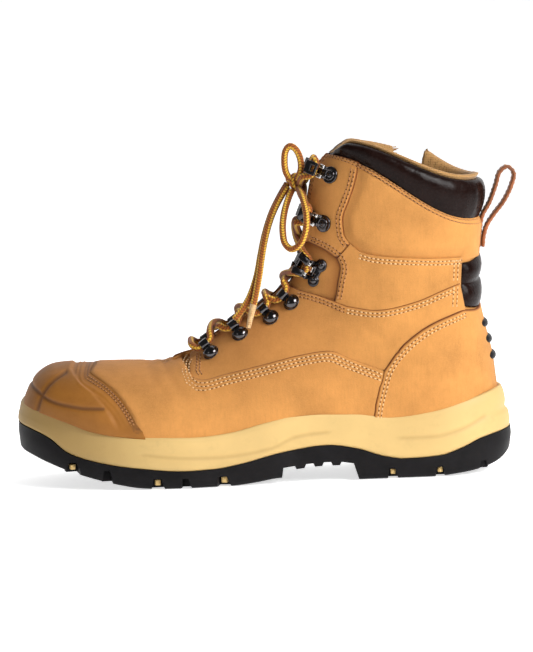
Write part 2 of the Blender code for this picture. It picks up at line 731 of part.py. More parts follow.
MIDSOLE_LEVELS = [
    (BUMPER + 0.6, BUMPER + 0.6, BUMPER + 0.6, core_height),
    (BUMPER + 0.4, BUMPER + 0.4, BUMPER + 0.4, between(0.0)),
    (0.8, 0.8, 0.8, between(0.0)),
    (0.0, 0.0, 0.8, between(0.12)),
    (0.3, 0.3, 1.4, between(0.36)),
    (1.5, 1.3, 3.6, between(0.48)),
    (1.0, 1.6, 3.2, between(0.62)),
    (0.9, 2.2, 4.0, between(0.85)),
    (1.8, 3.6, 5.4, between(1.0)),
]


def make_midsole(plug):
    block = ring_stack("midsole", "tan_foam", MIDSOLE_LEVELS)
    return apply_boolean(block, plug, "DIFFERENCE")


def prism(name, outline, low_y, high_y, paint="black_rubber"):
    """Straight prism of an x, z outline between two y values."""
    shape = bmesh.new()
    near = [shape.verts.new(Vector((x, low_y, z)) * MM) for x, z in outline]
    far = [shape.verts.new(Vector((x, high_y, z)) * MM) for x, z in outline]
    shape.faces.new(near)
    shape.faces.new(list(reversed(far)))
    for i in range(len(outline)):
        j = (i + 1) % len(outline)
        shape.faces.new((near[i], near[j], far[j], far[i]))
    return finish_mesh(shape, name, paint)


def groove_cutter(x, turn, width):
    reach = BALL_LATERAL * math.tan(math.radians(turn))
    roof = min(core_height(x - reach), core_height(x), core_height(x + reach)) - GROOVE_WEB
    tip = min(tread_height(x) + GROOVE_DEPTH, roof)
    outline = [(-0.5 * width, -12.0), (0.5 * width, -12.0), (0.36 * width, tip), (-0.36 * width, tip)]
    tool = prism("groove", outline, -80.0, 80.0)
    tool.location = (x * MM, 0.0, 0.0)
    tool.rotation_euler = (0.0, 0.0, math.radians(turn))
    return tool


def channel_cutter(start, stop, y):
    xs = np.linspace(start, stop, 7)
    outline = [(x, tread_height(x) + GROOVE_DEPTH - 1.0) for x in xs]
    outline += [(stop, -12.0), (start, -12.0)]
    return prism("channel", outline, y - 0.5 * CHANNEL_WIDTH, y + 0.5 * CHANNEL_WIDTH)


def make_outsole():
    def joint(x):
        return joint_height(x) - SEAT_GAP

    def core(x):
        return core_height(x) - SEAT_GAP

    def shoulder(x):
        return 0.35 * tread_height(x) + 0.65 * joint(x)

    def foot(x):
        return tread_height(x) + 2.0

    levels = [
        (2.4, 2.6, 3.0, tread_height),
        (0.6, 0.8, 1.0, foot),
        (0.0, 0.0, 0.0, shoulder),
        (0.2, 0.2, 0.4, joint),
        (BUMPER - 0.1, BUMPER - 0.1, BUMPER - 0.1, joint),
        (BUMPER + 0.1, BUMPER + 0.1, BUMPER + 0.1, core),
    ]
    block = ring_stack("outsole", "black_rubber", levels)
    tools = [groove_cutter(*row) for row in GROOVES]
    tools += [channel_cutter(*row) for row in CHANNELS]
    tools.append(prism("arch", ARCH, -80.0, 80.0))
    for tool in tools:
        apply_boolean(block, tool, "DIFFERENCE")
    return block


INSOLE_INSET = FEATHER_INSET + WALL + 1.2
INSOLE_THICK = 4.5


def make_insole():
    toe_inset = FEATHER_TOE_X - TOE_X + WALL + 2.0
    heel_inset = HEEL_X - FEATHER_HEEL_X + WALL + 2.0

    def floor(x):
        return bed_height(x) + 2.0 * SEAT_GAP

    def top(x):
        return floor(x) + INSOLE_THICK

    levels = [(INSOLE_INSET + 1.0, toe_inset + 1.0, heel_inset + 1.0, floor),
              (INSOLE_INSET, toe_inset, heel_inset, top)]
    return ring_stack("insole", "lining_mesh", levels)


# Panels laid on the upper

PANEL_RISE = 1.1
PANEL_GAP = 0.3
VAMP_BACK_X = -45.0
VAMP_BACK_ROW = 8.7


def moved(points, distance):
    """Line of x, z points moved sideways, to the left of its run."""
    result = []
    for i, (x, z) in enumerate(points):
        a = points[max(i - 1, 0)]
        b = points[min(i + 1, len(points) - 1)]
        run = math.hypot(b[0] - a[0], b[1] - a[1])
        result.append((x - distance * (b[1] - a[1]) / run, z + distance * (b[0] - a[0]) / run))
    return result


def lip_run(side, first_x, last_x, count):
    return [lip_mark(x, side, PANEL_RISE) for x in np.linspace(first_x, last_x, count)]


def edge_mark(side, x, row):
    """Mark on one section at x."""
    low, high = 0.0, 1.0
    for _ in range(40):
        middle = 0.5 * (low + high)
        if section_point(row, middle, side)[0] > x:
            low = middle
        else:
            high = middle
    return (row, low)


def add_panel(sheet, side, bottom, top, left, right, lifts=(OVERLAY_TOP, OVERLAY_GAP)):
    add_patch(sheet, side, coons(bottom, top, left, right), *lifts)


CAP_RISE = 1.8
CAP_ACROSS = 12
CAP_UP = 9
CAP_SHELL = 2.9
CAP_FLANGE = 1.7
CAP_INNER = 0.7
CAP_FLANGE_COLUMNS = 2


def cap_line(side, gap, rise):
    line = moved(CAP_EDGE, -gap)
    return ([roof_mark(CAP_ROOF_X - gap)] + side_marks(side, line)
            + [lip_mark(CAP_LIP_X - gap, side, rise)])


def toe_tip():
    """Mark on the middle line where the toe leaves the midsole."""
    low, high = 1.0, 4.0
    for _ in range(40):
        middle = 0.5 * (low + high)
        point = section_point(middle, 1.0, LATERAL)
        if point[2] < lip_height(point[0]) + CAP_RISE:
            low = middle
        else:
            high = middle
    return (high, 1.0)


def make_toe_cap():
    sheet = Sheet()
    tip = toe_tip()
    for side in SIDES:
        edge = spaced(list(reversed(cap_line(side, PANEL_GAP, CAP_RISE))), side, CAP_UP)
        rows = np.linspace(tip[0] + 0.12, edge[0][0], 24)
        low = spaced([tip] + [(row, lip_phi(row, side, CAP_RISE)) for row in rows], side, CAP_ACROSS)
        low[-1] = edge[0]
        top = spaced([(row, 1.0) for row in np.linspace(tip[0], edge[-1][0], 16)], side, CAP_ACROSS)
        grid = coons(low, top, [tip] * CAP_UP, edge)
        numbers = []
        for line in grid:
            ids = []
            for column, (row, phi) in enumerate(line):
                flange = column >= CAP_ACROSS - CAP_FLANGE_COLUMNS
                ids.append(sheet.vertex(row, phi, side, CAP_FLANGE if flange else CAP_SHELL, CAP_INNER))
            numbers.append(ids)
        sheet.grid(numbers)
    return sheet.solid("toe_cap", "cap_rubber")


VAMP_LOW = 4
VAMP_HIGH = 6
VAMP_ACROSS = 6
WING_ACROSS = 12


def wing_line(side, gap):
    return spaced(side_marks(side, moved([FACING_FOOT] + WING_EDGE, gap)), side, WING_ACROSS)


def make_vamp():
    sheet = Sheet()
    for side in SIDES:
        top_edge = wing_line(side, -PANEL_GAP)
        foot = lip_mark(VAMP_BACK_X, side, PANEL_RISE)
        post = spaced([foot, top_edge[0]], side, VAMP_LOW)
        throat = (VAMP_BACK_ROW, 1.0)
        facing = (VAMP_BACK_ROW, gap_phi(VAMP_BACK_ROW, side))
        post += spaced([top_edge[0], facing, throat], side, VAMP_HIGH)[1:]
        edge = spaced(list(reversed(cap_line(side, -PANEL_GAP, PANEL_RISE))), side, len(post))
        low = spaced(lip_run(side, CAP_LIP_X + PANEL_GAP, VAMP_BACK_X, 8), side, VAMP_ACROSS)
        low[0] = edge[0]
        low[-1] = foot
        roof = spaced([(row, 1.0) for row in np.linspace(edge[-1][0], VAMP_BACK_ROW, 8)], side, VAMP_ACROSS)
        add_panel(sheet, side, low, roof, edge, post)
        front = [lip_mark(COUNTER_LIP_X - PANEL_GAP, side, PANEL_RISE)]
        front += side_marks(side, moved(COUNTER_FRONT[:-1], PANEL_GAP)) + [top_edge[-1]]
        front = spaced(front, side, VAMP_LOW)
        sill = spaced(lip_run(side, VAMP_BACK_X, COUNTER_LIP_X - PANEL_GAP, 16), side, WING_ACROSS)
        sill[0] = foot
        sill[-1] = front[0]
        add_panel(sheet, side, sill, top_edge, post[:VAMP_LOW], front)
    return sheet.solid("vamp", "nubuck")


COUNTER_RISE = 4.2
COUNTER_RUN = 80.0
COUNTER_SIDE = 8
COUNTER_BACK = 6
COUNTER_UP = 7


def counter_side(side, gap):
    return spaced(side_marks(side, moved(COUNTER_TOP, gap)), side, COUNTER_SIDE)


def counter_line(side, gap):
    run = counter_side(side, gap)
    return run + spaced([run[-1], back_mark(COUNTER_BACK_Z + gap)], side, COUNTER_BACK)[1:]


def make_heel_counter():
    sheet = Sheet()
    for side in SIDES:
        top = counter_line(side, -PANEL_GAP)
        back_foot = back_mark(lip_height(FEATHER_HEEL_X) + COUNTER_RISE)
        xs = np.concatenate((np.linspace(COUNTER_LIP_X + PANEL_GAP, 138.0, 14), np.linspace(140.0, 146.0, 5)))
        slope = (COUNTER_RISE - PANEL_RISE) / COUNTER_RUN
        low = [lip_mark(x, side, PANEL_RISE + slope * (x - COUNTER_LIP_X)) for x in xs]
        low.append(back_foot)
        low = spaced(low, side, len(top))
        front = [low[0]] + side_marks(side, moved(COUNTER_FRONT[:-1], -PANEL_GAP)) + [top[0]]
        front = spaced(front, side, COUNTER_UP)
        back = spaced([back_foot, (18.0, 0.0), top[-1]], side, COUNTER_UP)
        add_panel(sheet, side, low, top, front, back)
    return sheet.solid("heel_counter", "nubuck")


QUARTER_UP = 8
QUARTER_TOP_ROW = 14.1
PAD_CORNER = 3
COUNTER_END = (124.2, 102.2)


def make_quarter(side, name):
    sheet = Sheet()
    low = wing_line(side, PANEL_GAP)
    low = low[:-1] + counter_side(side, PANEL_GAP)[:-1]
    low.append(mark(side, *COUNTER_END))
    facing = facing_edge(side, THROAT_ROW, QUARTER_TOP_ROW, 12)
    left = spaced([low[0]] + facing, side, QUARTER_UP)
    top = spaced([facing[-1]] + side_marks(side, moved(QUARTER_TOP, -PANEL_GAP)), side, len(low))
    right = spaced([low[-1], top[-1]], side, QUARTER_UP)
    add_panel(sheet, side, low, top, left, right)
    return sheet.solid(name, "nubuck")


EYESTAY_ROW = 17.7
EYESTAY_UP = 9
EYESTAY_ACROSS = 4
SEAM_TOP_X = 66.0
BRIDGE = 3
SHAFT_UP = 4
SHAFT_ACROSS = 10


def make_shaft(side, name):
    sheet = Sheet()
    top_row = EDGE_ROW - 0.03
    facing = spaced(facing_edge(side, EYESTAY_ROW, top_row, 12), side, EYESTAY_UP)
    roof = spaced([facing[0]] + side_marks(side, WINDOW_ROOF), side, EYESTAY_ACROSS)
    seam = side_marks(side, list(reversed(COLLAR_SEAM))) + [edge_mark(side, SEAM_TOP_X, top_row)]
    joint = spaced([roof[-1], seam[0]], side, BRIDGE)
    rear = joint + spaced(seam, side, EYESTAY_UP - BRIDGE + 1)[1:]
    phis = np.linspace(facing[-1][1], seam[-1][1], EYESTAY_ACROSS)
    add_panel(sheet, side, roof, [(top_row, phi) for phi in phis], facing, rear)
    low = spaced(side_marks(side, moved([WINDOW_FOOT] + QUARTER_TOP[3:], PANEL_GAP)), side, SHAFT_ACROSS)
    base = moved(PAD_FRONT, -PANEL_GAP)[0]
    hem = [seam[0]] + side_marks(side, COLLAR_BASE[1:-1] + [(base[0], base[1] + 2.0)])
    hem = spaced(hem, side, SHAFT_ACROSS - BRIDGE + 1)
    window = spaced([low[0]] + side_marks(side, WINDOW_EDGE[1:-1]) + [roof[-1]], side, SHAFT_UP)
    behind = spaced([low[-1], hem[-1]], side, SHAFT_UP)
    add_panel(sheet, side, low, joint + hem[1:], window, behind)
    return sheet.solid(name, "nubuck")


# Pads, bars, strap and collar

PAD_PROFILE = [1.2, 2.9, 3.5, 2.9, 1.6, 2.8, 3.4, 2.7, 1.2]
PAD_SHARES = [0.0, 0.12, 0.28, 0.44, 0.53, 0.62, 0.76, 0.9, 1.0]
PAD_ACROSS = [0.0, 0.1, 0.25, 0.4, 0.55, 0.7, 0.85, 1.0]
PAD_EDGE_LIFT = 1.2
PAD_INNER = 0.7
PAD_TOP_Z = 137.5
PAD_FINE = 100


def make_achilles_pad():
    sheet = Sheet()
    for side in SIDES:
        foot = mark(side, *moved(PAD_FRONT, PANEL_GAP)[PAD_CORNER])
        front = [foot] + side_marks(side, list(reversed(moved(PAD_FRONT[:-1], PANEL_GAP))))
        lines = []
        for share, lift in zip(PAD_SHARES, PAD_PROFILE):
            start = spaced(front, side, PAD_FINE + 1)[int(round(PAD_FINE * share))]
            low_z = COUNTER_BACK_Z + 2.0 * PANEL_GAP + 0.3
            stop = back_mark(low_z + share * (PAD_TOP_Z - low_z))
            run = spaced([start, stop], side, PAD_FINE + 1)
            ids = []
            for across in PAD_ACROSS:
                row, phi = run[int(round(PAD_FINE * across))]
                ids.append(sheet.vertex(row, phi, side, lift if across else PAD_EDGE_LIFT, PAD_INNER))
            lines.append(ids)
        sheet.grid(lines)
    return sheet.solid("achilles_pad", "dark_leather")


HEEL_BARS = [91.1, 81.1, 70.9]
BAR_HALF_LENGTH = [(0.0, 2.6), (5.0, 2.6), (10.0, 2.4), (13.0, 1.7), (14.5, 0.7)]
BAR_LIFTS = (4.1, 2.4)
BACK_ROWS = (CORNER_ROW, LAST_ROW)


def make_heel_bar(name, z):
    sheet = Sheet()
    for side in SIDES:
        lines = []
        for rise in (-1.0, 1.0):
            ids = []
            for y, half in BAR_HALF_LENGTH:
                height = z + rise * half
                at = back_mark(height) if y == 0.0 else mark(side, side * y, height, (1, 2), BACK_ROWS)
                ids.append(sheet.vertex(*at, side, *BAR_LIFTS))
            lines.append(ids)
        sheet.grid(lines)
    return sheet.solid(name, "black_rubber")


COLLAR_COLUMNS = 9
NOTCH_STEP = 1.2
PAD_NOTCH = 0.30
LINING_NOTCH = 0.40
RISE = [(70.0, 0.0), (91.0, 3.0), (111.0, 9.0), (118.0, 8.0), (128.0, 5.0), (137.0, 1.2), (140.0, 0.0)]
RISE_SPAN = 12.0
rim_rise = Curve(RISE)

# Section row, outer lift, inner lift, share of the way to the facing
COLLAR_PAD = [(22.04, 0.3, -1.9, 1.0), (22.25, 3.2, -2.8, 1.0), (22.5, 4.2, -3.0, 1.0),
              (22.7, 3.2, -2.6, 1.0),
              (22.84, 0.6, -1.6, 1.0)]
COLLAR_LINING = [(21.2, -3.1, -4.4, 0.62), (22.0, -3.2, -6.5, 0.62), (22.16, -3.4, -7.0, 1.0),
                 (22.5, -3.6, -7.0, 1.0), (22.82, -3.2, -6.5, 1.0), (22.93, 0.6, -5.8, 1.0),
                 (23.0, -0.6, -4.0, 1.0)]


def collar_shares(side):
    """Shares of the way from the back to the facing; the medial side has extra ones at the gap."""
    shares = [(i / COLLAR_COLUMNS, False) for i in range(COLLAR_COLUMNS + 1)]
    if side == LATERAL:
        return shares
    edge = gap_phi(EDGE_ROW + 0.5, side)
    low, high = (edge_mark(side, x, EDGE_ROW + 0.5)[1] / edge for x in (COLLAR_GAP[1], COLLAR_GAP[0]))
    step = NOTCH_STEP * (high - low) / (COLLAR_GAP[1] - COLLAR_GAP[0])
    shares = [row for row in shares if row[0] < low - 0.02 or row[0] > high + 0.02]
    shares += [(low, False), (low + step, True), (high - step, True), (high, False)]
    return sorted(shares)


def make_collar(name, paint, table, notch):
    sheet = Sheet()
    for side in SIDES:
        lines = []
        for row, outer_lift, inner_lift, reach in table:
            ids = []
            for share, in_gap in collar_shares(side):
                edge = gap_phi(row, side)
                at = row
                if row > EDGE_ROW:
                    x = section_point(row, share * edge, side)[0]
                    grown = rim_rise(x) / RISE_SPAN if side == MEDIAL else 0.0
                    at = EDGE_ROW + (row - EDGE_ROW) * (notch if in_gap else 1.0 + grown)
                ids.append(sheet.vertex(at, share * reach * edge, side, outer_lift, inner_lift))
            lines.append(ids)
        sheet.grid(lines)
    return sheet.solid(name, paint)


def strip(name, paint, path, thick, width):
    """Strap that follows an x, z path, centred on the middle plane."""
    half = 0.5 * thick
    near = moved(path, half)
    far = moved(path, -half)
    return prism(name, near + list(reversed(far)), -0.5 * width, 0.5 * width, paint)


# Zip on the medial side

ZIP_FACING_X = (-10.0, -6.7, -3.5, 3.5, 6.7, 10.0)
ZIP_CHAIN_X = (-3.0, 0.0, 3.0)
ZIP_HEIGHTS = (97.0, 170.0)
ZIP_ROWS = 10
ZIP_HEM = [(90.5, 0.82), (93.5, 1.0)]
ZIP_FACING_THICK = 1.1
ZIP_CHAIN_THICK = 1.9
ZIP_LIFT = 2.4
ZIP_HIGH_LIFT = 0.6
ZIP_STEP_Z = 142.0


def zip_mark(offset, z):
    return mark(MEDIAL, zip_x(z) + offset, z)


def zip_line(sheet, offsets, z, thick):
    """Row of vertices across the zip; it sits lower where no panel is under it."""
    lift = ZIP_LIFT if z < ZIP_STEP_Z else ZIP_HIGH_LIFT
    return [sheet.vertex(*zip_mark(x, z), MEDIAL, lift + thick, lift) for x in offsets]


def make_zip():
    zs = np.linspace(*ZIP_HEIGHTS, ZIP_ROWS)
    facing = Sheet()
    legs = [zip_line(facing, ZIP_FACING_X, z, ZIP_FACING_THICK) for z in zs]
    facing.grid([line[:3] for line in legs])
    facing.grid([line[3:] for line in legs])
    hem = [zip_line(facing, [x * share for x in ZIP_FACING_X], z, ZIP_FACING_THICK) for z, share in ZIP_HEM]
    facing.grid(hem + [legs[0]])
    facing.solid("zip_facing", "nubuck")
    chain = Sheet()
    chain.grid([zip_line(chain, ZIP_CHAIN_X, z + 1.0, ZIP_CHAIN_THICK) for z in zs])
    return chain.solid("zip_chain", "zip_tape")


# Lace hardware

RIVET_GAP = 0.6
SEAT = OVERLAY_TOP + RIVET_GAP
DOME = [(4.7, 0.0), (4.7, 0.8), (3.3, 2.6)]
DOME_TOP = 3.6
RING_PATH = [(1.5, -3.3), (6.2, -3.4), (8.6, -1.9), (8.6, 1.9), (6.2, 3.4), (1.5, 3.3)]
RING_HEIGHT = 1.9
RING_WIRE = 1.1
DISC = [(5.4, 0.0), (5.4, 0.7), (4.0, 1.5)]
DISC_TOP = 1.9
HOOK_PROFILE = [(0.5, 0.9), (7.0, 1.4), (9.4, 3.0), (9.4, 5.2), (6.8, 6.2), (2.5, 5.4)]
HOOK_THICK = 1.2
HOOK_WIDTH = 6.0
PLATE = (4.0, 9.0, 1.0)
RIVET = [(2.6, 0.5), (2.6, 1.4)]
RIVET_TOP = 1.9
RIVET_OFFSET = 5.3


class Seat:
    """Local axes on the upper: u to the throat, v up along it, n out."""

    def __init__(self, side, x, z, lift):
        row, phi = mark(side, x, z)
        self.lift = lift
        self.n = outward(row, phi, side)
        self.at = section_point(row, phi, side) + lift * self.n
        step = section_point(row, phi + 0.01, side) - section_point(row, phi - 0.01, side)
        self.u = step - np.dot(step, self.n) * self.n
        self.u /= np.linalg.norm(self.u)
        self.v = np.cross(self.n, self.u) * side

    def point(self, u, v, n):
        return self.at + u * self.u + v * self.v + n * self.n


def turned(name, seat, profile, top, sides, centre_v=0.0):
    """Round boss on a seat: rings of radius and height, closed by a point."""
    shape = bmesh.new()
    rings = []
    for radius, height in profile:
        angles = [2.0 * math.pi * i / sides for i in range(sides)]
        points = [seat.point(radius * math.cos(a), centre_v + radius * math.sin(a), height) for a in angles]
        rings.append([shape.verts.new(Vector(point) * MM) for point in points])
    for a, b in zip(rings, rings[1:]):
        for i in range(sides):
            j = (i + 1) % sides
            shape.faces.new((a[i], a[j], b[j], b[i]))
    tip = shape.verts.new(Vector(seat.point(0.0, centre_v, top)) * MM)
    for i in range(sides):
        shape.faces.new((rings[-1][i], rings[-1][(i + 1) % sides], tip))
    shape.faces.new(list(reversed(rings[0])))
    return finish_mesh(shape, name, "black_nickel")


def tube(name, paint, points, radius, sides=5):
    """Round bar along points."""
    points = [np.array(point, dtype=float) for point in points]
    shape = bmesh.new()
    rings = []
    across = None
    for i, point in enumerate(points):
        run = points[min(i + 1, len(points) - 1)] - points[max(i - 1, 0)]
        run /= np.linalg.norm(run)
        if across is None:
            across = np.cross(run, (0.31, 0.83, 0.46))
        across = across - np.dot(across, run) * run
        across /= np.linalg.norm(across)
        other = np.cross(run, across)
        ring = []
        for k in range(sides):
            angle = 2.0 * math.pi * k / sides
            spot = point + radius * (math.cos(angle) * across + math.sin(angle) * other)
            ring.append(shape.verts.new(Vector(spot) * MM))
        rings.append(ring)
    for a, b in zip(rings, rings[1:]):
        for k in range(sides):
            m = (k + 1) % sides
            shape.faces.new((a[k], a[m], b[m], b[k]))
    shape.faces.new(list(reversed(rings[0])))
    shape.faces.new(rings[-1])
    return finish_mesh(shape, name, paint)


def seat_strip(name, seat, profile, thick, width):
    """Bent strip on a seat: u, n path, given a thickness and a width along v."""
    outline = moved(profile, 0.5 * thick) + list(reversed(moved(profile, -0.5 * thick)))
    shape = bmesh.new()
    near = [shape.verts.new(Vector(seat.point(u, -0.5 * width, n)) * MM) for u, n in outline]
    far = [shape.verts.new(Vector(seat.point(u, 0.5 * width, n)) * MM) for u, n in outline]
    count = len(profile)
    for loop in (near, far):
        for i in range(count - 1):
            shape.faces.new((loop[i], loop[i + 1], loop[-2 - i], loop[-1 - i]))
    for i in range(len(outline)):
        j = (i + 1) % len(outline)
        shape.faces.new((near[i], near[j], far[j], far[i]))
    return finish_mesh(shape, name, "black_nickel")


def seat_block(name, seat, half_u, half_v, height):
    shape = bmesh.new()
    corners = ((-half_u, -half_v), (half_u, -half_v), (half_u, half_v), (-half_u, half_v))
    spots = [(u, v, n) for n in (0.0, height) for u, v in corners]
    made = [shape.verts.new(Vector(seat.point(*spot)) * MM) for spot in spots]
    shape.faces.new(made[:4])
    shape.faces.new(made[4:])
    for i in range(4):
        j = (i + 1) % 4
        shape.faces.new((made[i], made[j], made[j + 4], made[i + 4]))
    return finish_mesh(shape, name, "black_nickel")


def make_ring_eyelet(name, seat):
    body = turned(name, seat, DOME, DOME_TOP, 8)
    path = [seat.point(u, v, RING_HEIGHT) for u, v in RING_PATH]
    return apply_boolean(body, tube("ring", "black_nickel", path, RING_WIRE), "UNION")


def make_speed_hook(name, seat):
    body = turned(name, seat, DISC, DISC_TOP, 8)
    return apply_boolean(body, seat_strip("hook", seat, HOOK_PROFILE, HOOK_THICK, HOOK_WIDTH), "UNION")


def make_lock_hook(name, seat):
    body = seat_block(name, seat, *PLATE)
    for centre in (-RIVET_OFFSET, RIVET_OFFSET):
        apply_boolean(body, turned("rivet", seat, RIVET, RIVET_TOP, 8, centre), "UNION")
    return apply_boolean(body, seat_strip("hook", seat, HOOK_PROFILE, HOOK_THICK, HOOK_WIDTH), "UNION")


# Lace

LACE_START = 10.1
LACE_SIDE_STEP = 2.5
LACE_LEAD = 3.0
LACE_LIFT = 6.8
LACE_ARCH = 3.9
KNOT_BACK = (32.4, 0.0, 184.4)


def lace_end(seat, step):
    """Two points of a strand beside a ring or hook, the first at its end."""
    height = LACE_LIFT - seat.lift
    return [seat.point(LACE_START, step, height), seat.point(LACE_START + LACE_LEAD, step, height)]


def strand(name, seats, steps, middle=None):
    """Strand from one seat to another over the tongue."""
    first = lace_end(seats[0], steps[0])
    last = lace_end(seats[1], steps[1])
    if middle is None:
        out = seats[0].n + seats[1].n
        out[1] = 0.0
        middle = 0.5 * (first[1] + last[1]) + LACE_ARCH * out / np.linalg.norm(out)
    return tube(name, "lace_cord", first + [middle] + list(reversed(last)), LACE_RADIUS)


def make_lace(levels):
    """Bar at the lowest eyelets, a crossing between each two levels and the run behind the knot."""
    strand("lace_bar", levels[0], (-LACE_SIDE_STEP, -LACE_SIDE_STEP))
    for number, (low, high) in enumerate(zip(levels, levels[1:]), 1):
        steps = (LACE_SIDE_STEP, -LACE_SIDE_STEP)
        body = strand("lace_crossing_%d" % number, (low[0], high[1]), steps)
        apply_boolean(body, strand("other", (low[1], high[0]), steps), "UNION")
    strand("lace_top", levels[-1], (LACE_SIDE_STEP, LACE_SIDE_STEP), KNOT_BACK)


def cord(name, points):
    """Free run of lace as a round curve."""
    data = bpy.data.curves.new(name, "CURVE")
    data.dimensions = "3D"
    data.bevel_depth = LACE_RADIUS * MM
    data.bevel_resolution = 2
    data.use_fill_caps = True
    line = data.splines.new("POLY")
    line.points.add(len(points) - 1)
    for spot, point in zip(line.points, points):
        spot.co = (*(value * MM for value in point), 1.0)
    data.materials.append(material("lace_cord"))
    made = bpy.data.objects.new(name, data)
    bpy.context.scene.collection.objects.link(made)
    return made


def centre_frame():
    """Move every mesh so the origin is at the bottom centre of all but the cords."""
    things = list(bpy.context.scene.collection.objects)
    corners = [vertex.co for thing in things if thing.type == "MESH" for vertex in thing.data.vertices]
    low = [min(corner[axis] for corner in corners) for axis in range(3)]
    high = [max(corner[axis] for corner in corners) for axis in range(3)]
    shift = Vector((-0.5 * (low[0] + high[0]), -0.5 * (low[1] + high[1]), -low[2]))
    for thing in things:
        thing.data.transform(Matrix.Translation(shift))


def main():
    clear_scene()
    make_upper()
    make_midsole(last_plug())
    make_outsole()
    make_insole()
    make_tongue()
    make_toe_cap()
    make_vamp()
    make_heel_counter()
    for side, word in ((LATERAL, "lateral"), (MEDIAL, "medial")):
        make_quarter(side, "quarter_" + word)
        make_shaft(side, "shaft_" + word)
    make_achilles_pad()
    for number, z in enumerate(HEEL_BARS, 1):
        make_heel_bar("heel_bar_%d" % number, z)
    make_collar("collar_pad", "dark_leather", COLLAR_PAD, PAD_NOTCH)
    make_collar("collar_lining", "lining_mesh", COLLAR_LINING, LINING_NOTCH)
    strip("pull_loop", "strap_leather", PULL_LOOP, PULL_LOOP_THICK, PULL_LOOP_WIDTH)
    make_zip()
    levels = []
    for number, (x, z) in enumerate(RING_EYELETS, 1):
        seats = [Seat(side, x, z, SEAT) for side in SIDES]
        for seat, word in zip(seats, ("lateral", "medial")):
            make_ring_eyelet("ring_eyelet_%s_%d" % (word, number), seat)
        levels.append(seats)
    seats = [Seat(side, *LOCK_HOOK, SEAT_GAP) for side in SIDES]
    for seat, word in zip(seats, ("lateral", "medial")):
        make_lock_hook("lock_hook_" + word, seat)
    levels.append(seats)
    for number, (x, z) in enumerate(SPEED_HOOKS, 1):
        seats = [Seat(side, x, z, SEAT) for side in SIDES]
        for seat, word in zip(seats, ("lateral", "medial")):
            make_speed_hook("speed_hook_%s_%d" % (word, number), seat)
        levels.append(seats)
    make_lace(levels)
    for name, route in (("lace_knot", KNOT), ("lace_loop_up", LOOP_UP), ("lace_loop_down", LOOP_DOWN),
                        ("lace_end_one", END_ONE), ("lace_end_two", END_TWO)):
        cord(name, route)
    centre_frame()


main()
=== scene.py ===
"""Looks of a left safety boot: leather panels, stitching, collar, sole, lace hardware, laces and stage.

Sizes in the tables are millimetres in the boot's own frame: toe at -X, heel at +X, lateral side at -Y.
"""

import math

import bmesh
import bpy
import numpy as np
from mathutils import Matrix, Vector


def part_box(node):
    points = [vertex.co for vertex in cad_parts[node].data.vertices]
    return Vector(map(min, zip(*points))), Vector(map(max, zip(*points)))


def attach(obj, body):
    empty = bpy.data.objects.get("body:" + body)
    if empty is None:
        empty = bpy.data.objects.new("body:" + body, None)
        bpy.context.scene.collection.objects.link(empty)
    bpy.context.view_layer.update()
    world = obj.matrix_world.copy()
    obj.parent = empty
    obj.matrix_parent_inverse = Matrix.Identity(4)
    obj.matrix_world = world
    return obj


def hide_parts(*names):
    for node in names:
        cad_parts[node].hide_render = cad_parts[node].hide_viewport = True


bl_info = {
    "name": "Safety boot looks",
    "version": (1, 0, 0),
    "blender": (4, 5, 0),
    "location": "View3D > Sidebar > Boot",
    "description": "Dresses a left safety boot with panels, stitching, sole, hardware, laces and a stage",
    "category": "Object",
}

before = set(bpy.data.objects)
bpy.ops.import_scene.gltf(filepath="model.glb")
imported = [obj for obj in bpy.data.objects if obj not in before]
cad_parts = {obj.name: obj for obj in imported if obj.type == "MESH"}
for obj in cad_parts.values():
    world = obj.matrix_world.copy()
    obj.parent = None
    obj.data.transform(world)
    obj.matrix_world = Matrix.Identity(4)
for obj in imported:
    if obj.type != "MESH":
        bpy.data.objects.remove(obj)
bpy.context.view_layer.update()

MM = 0.001
LATERAL = -1
MEDIAL = 1
SIDES = (LATERAL, MEDIAL)
SIDE_WORDS = {LATERAL: "lateral", MEDIAL: "medial"}
TOE_X = -154.0
HEEL_X = 157.0
TOE_TIP_Y = 8.0
BALL_LATERAL = 57.0
BALL_MEDIAL = 53.0
HEEL_HALF_WIDTH = 43.0
FEATHER_INSET = 7.0
FEATHER_TOE_X = -147.0
FEATHER_HEEL_X = 148.5
TOE_POWER = 2.3
HEEL_POWER = 2.4
SHIFT = np.array((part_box("outsole")[0].x / MM - TOE_X,
                  0.5 * (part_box("pull_loop")[0].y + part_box("pull_loop")[1].y) / MM, 0.0))

# Sole plan between ball and heel: x, half width
PLAN = {
    LATERAL: [(-45.0, BALL_LATERAL), (0.0, 50.5), (30.0, 46.0), (60.0, 43.8), (95.0, HEEL_HALF_WIDTH)],
    MEDIAL: [(-68.0, BALL_MEDIAL), (-20.0, 44.5), (20.0, 37.5), (50.0, 37.5), (95.0, HEEL_HALF_WIDTH - 1.0)],
}
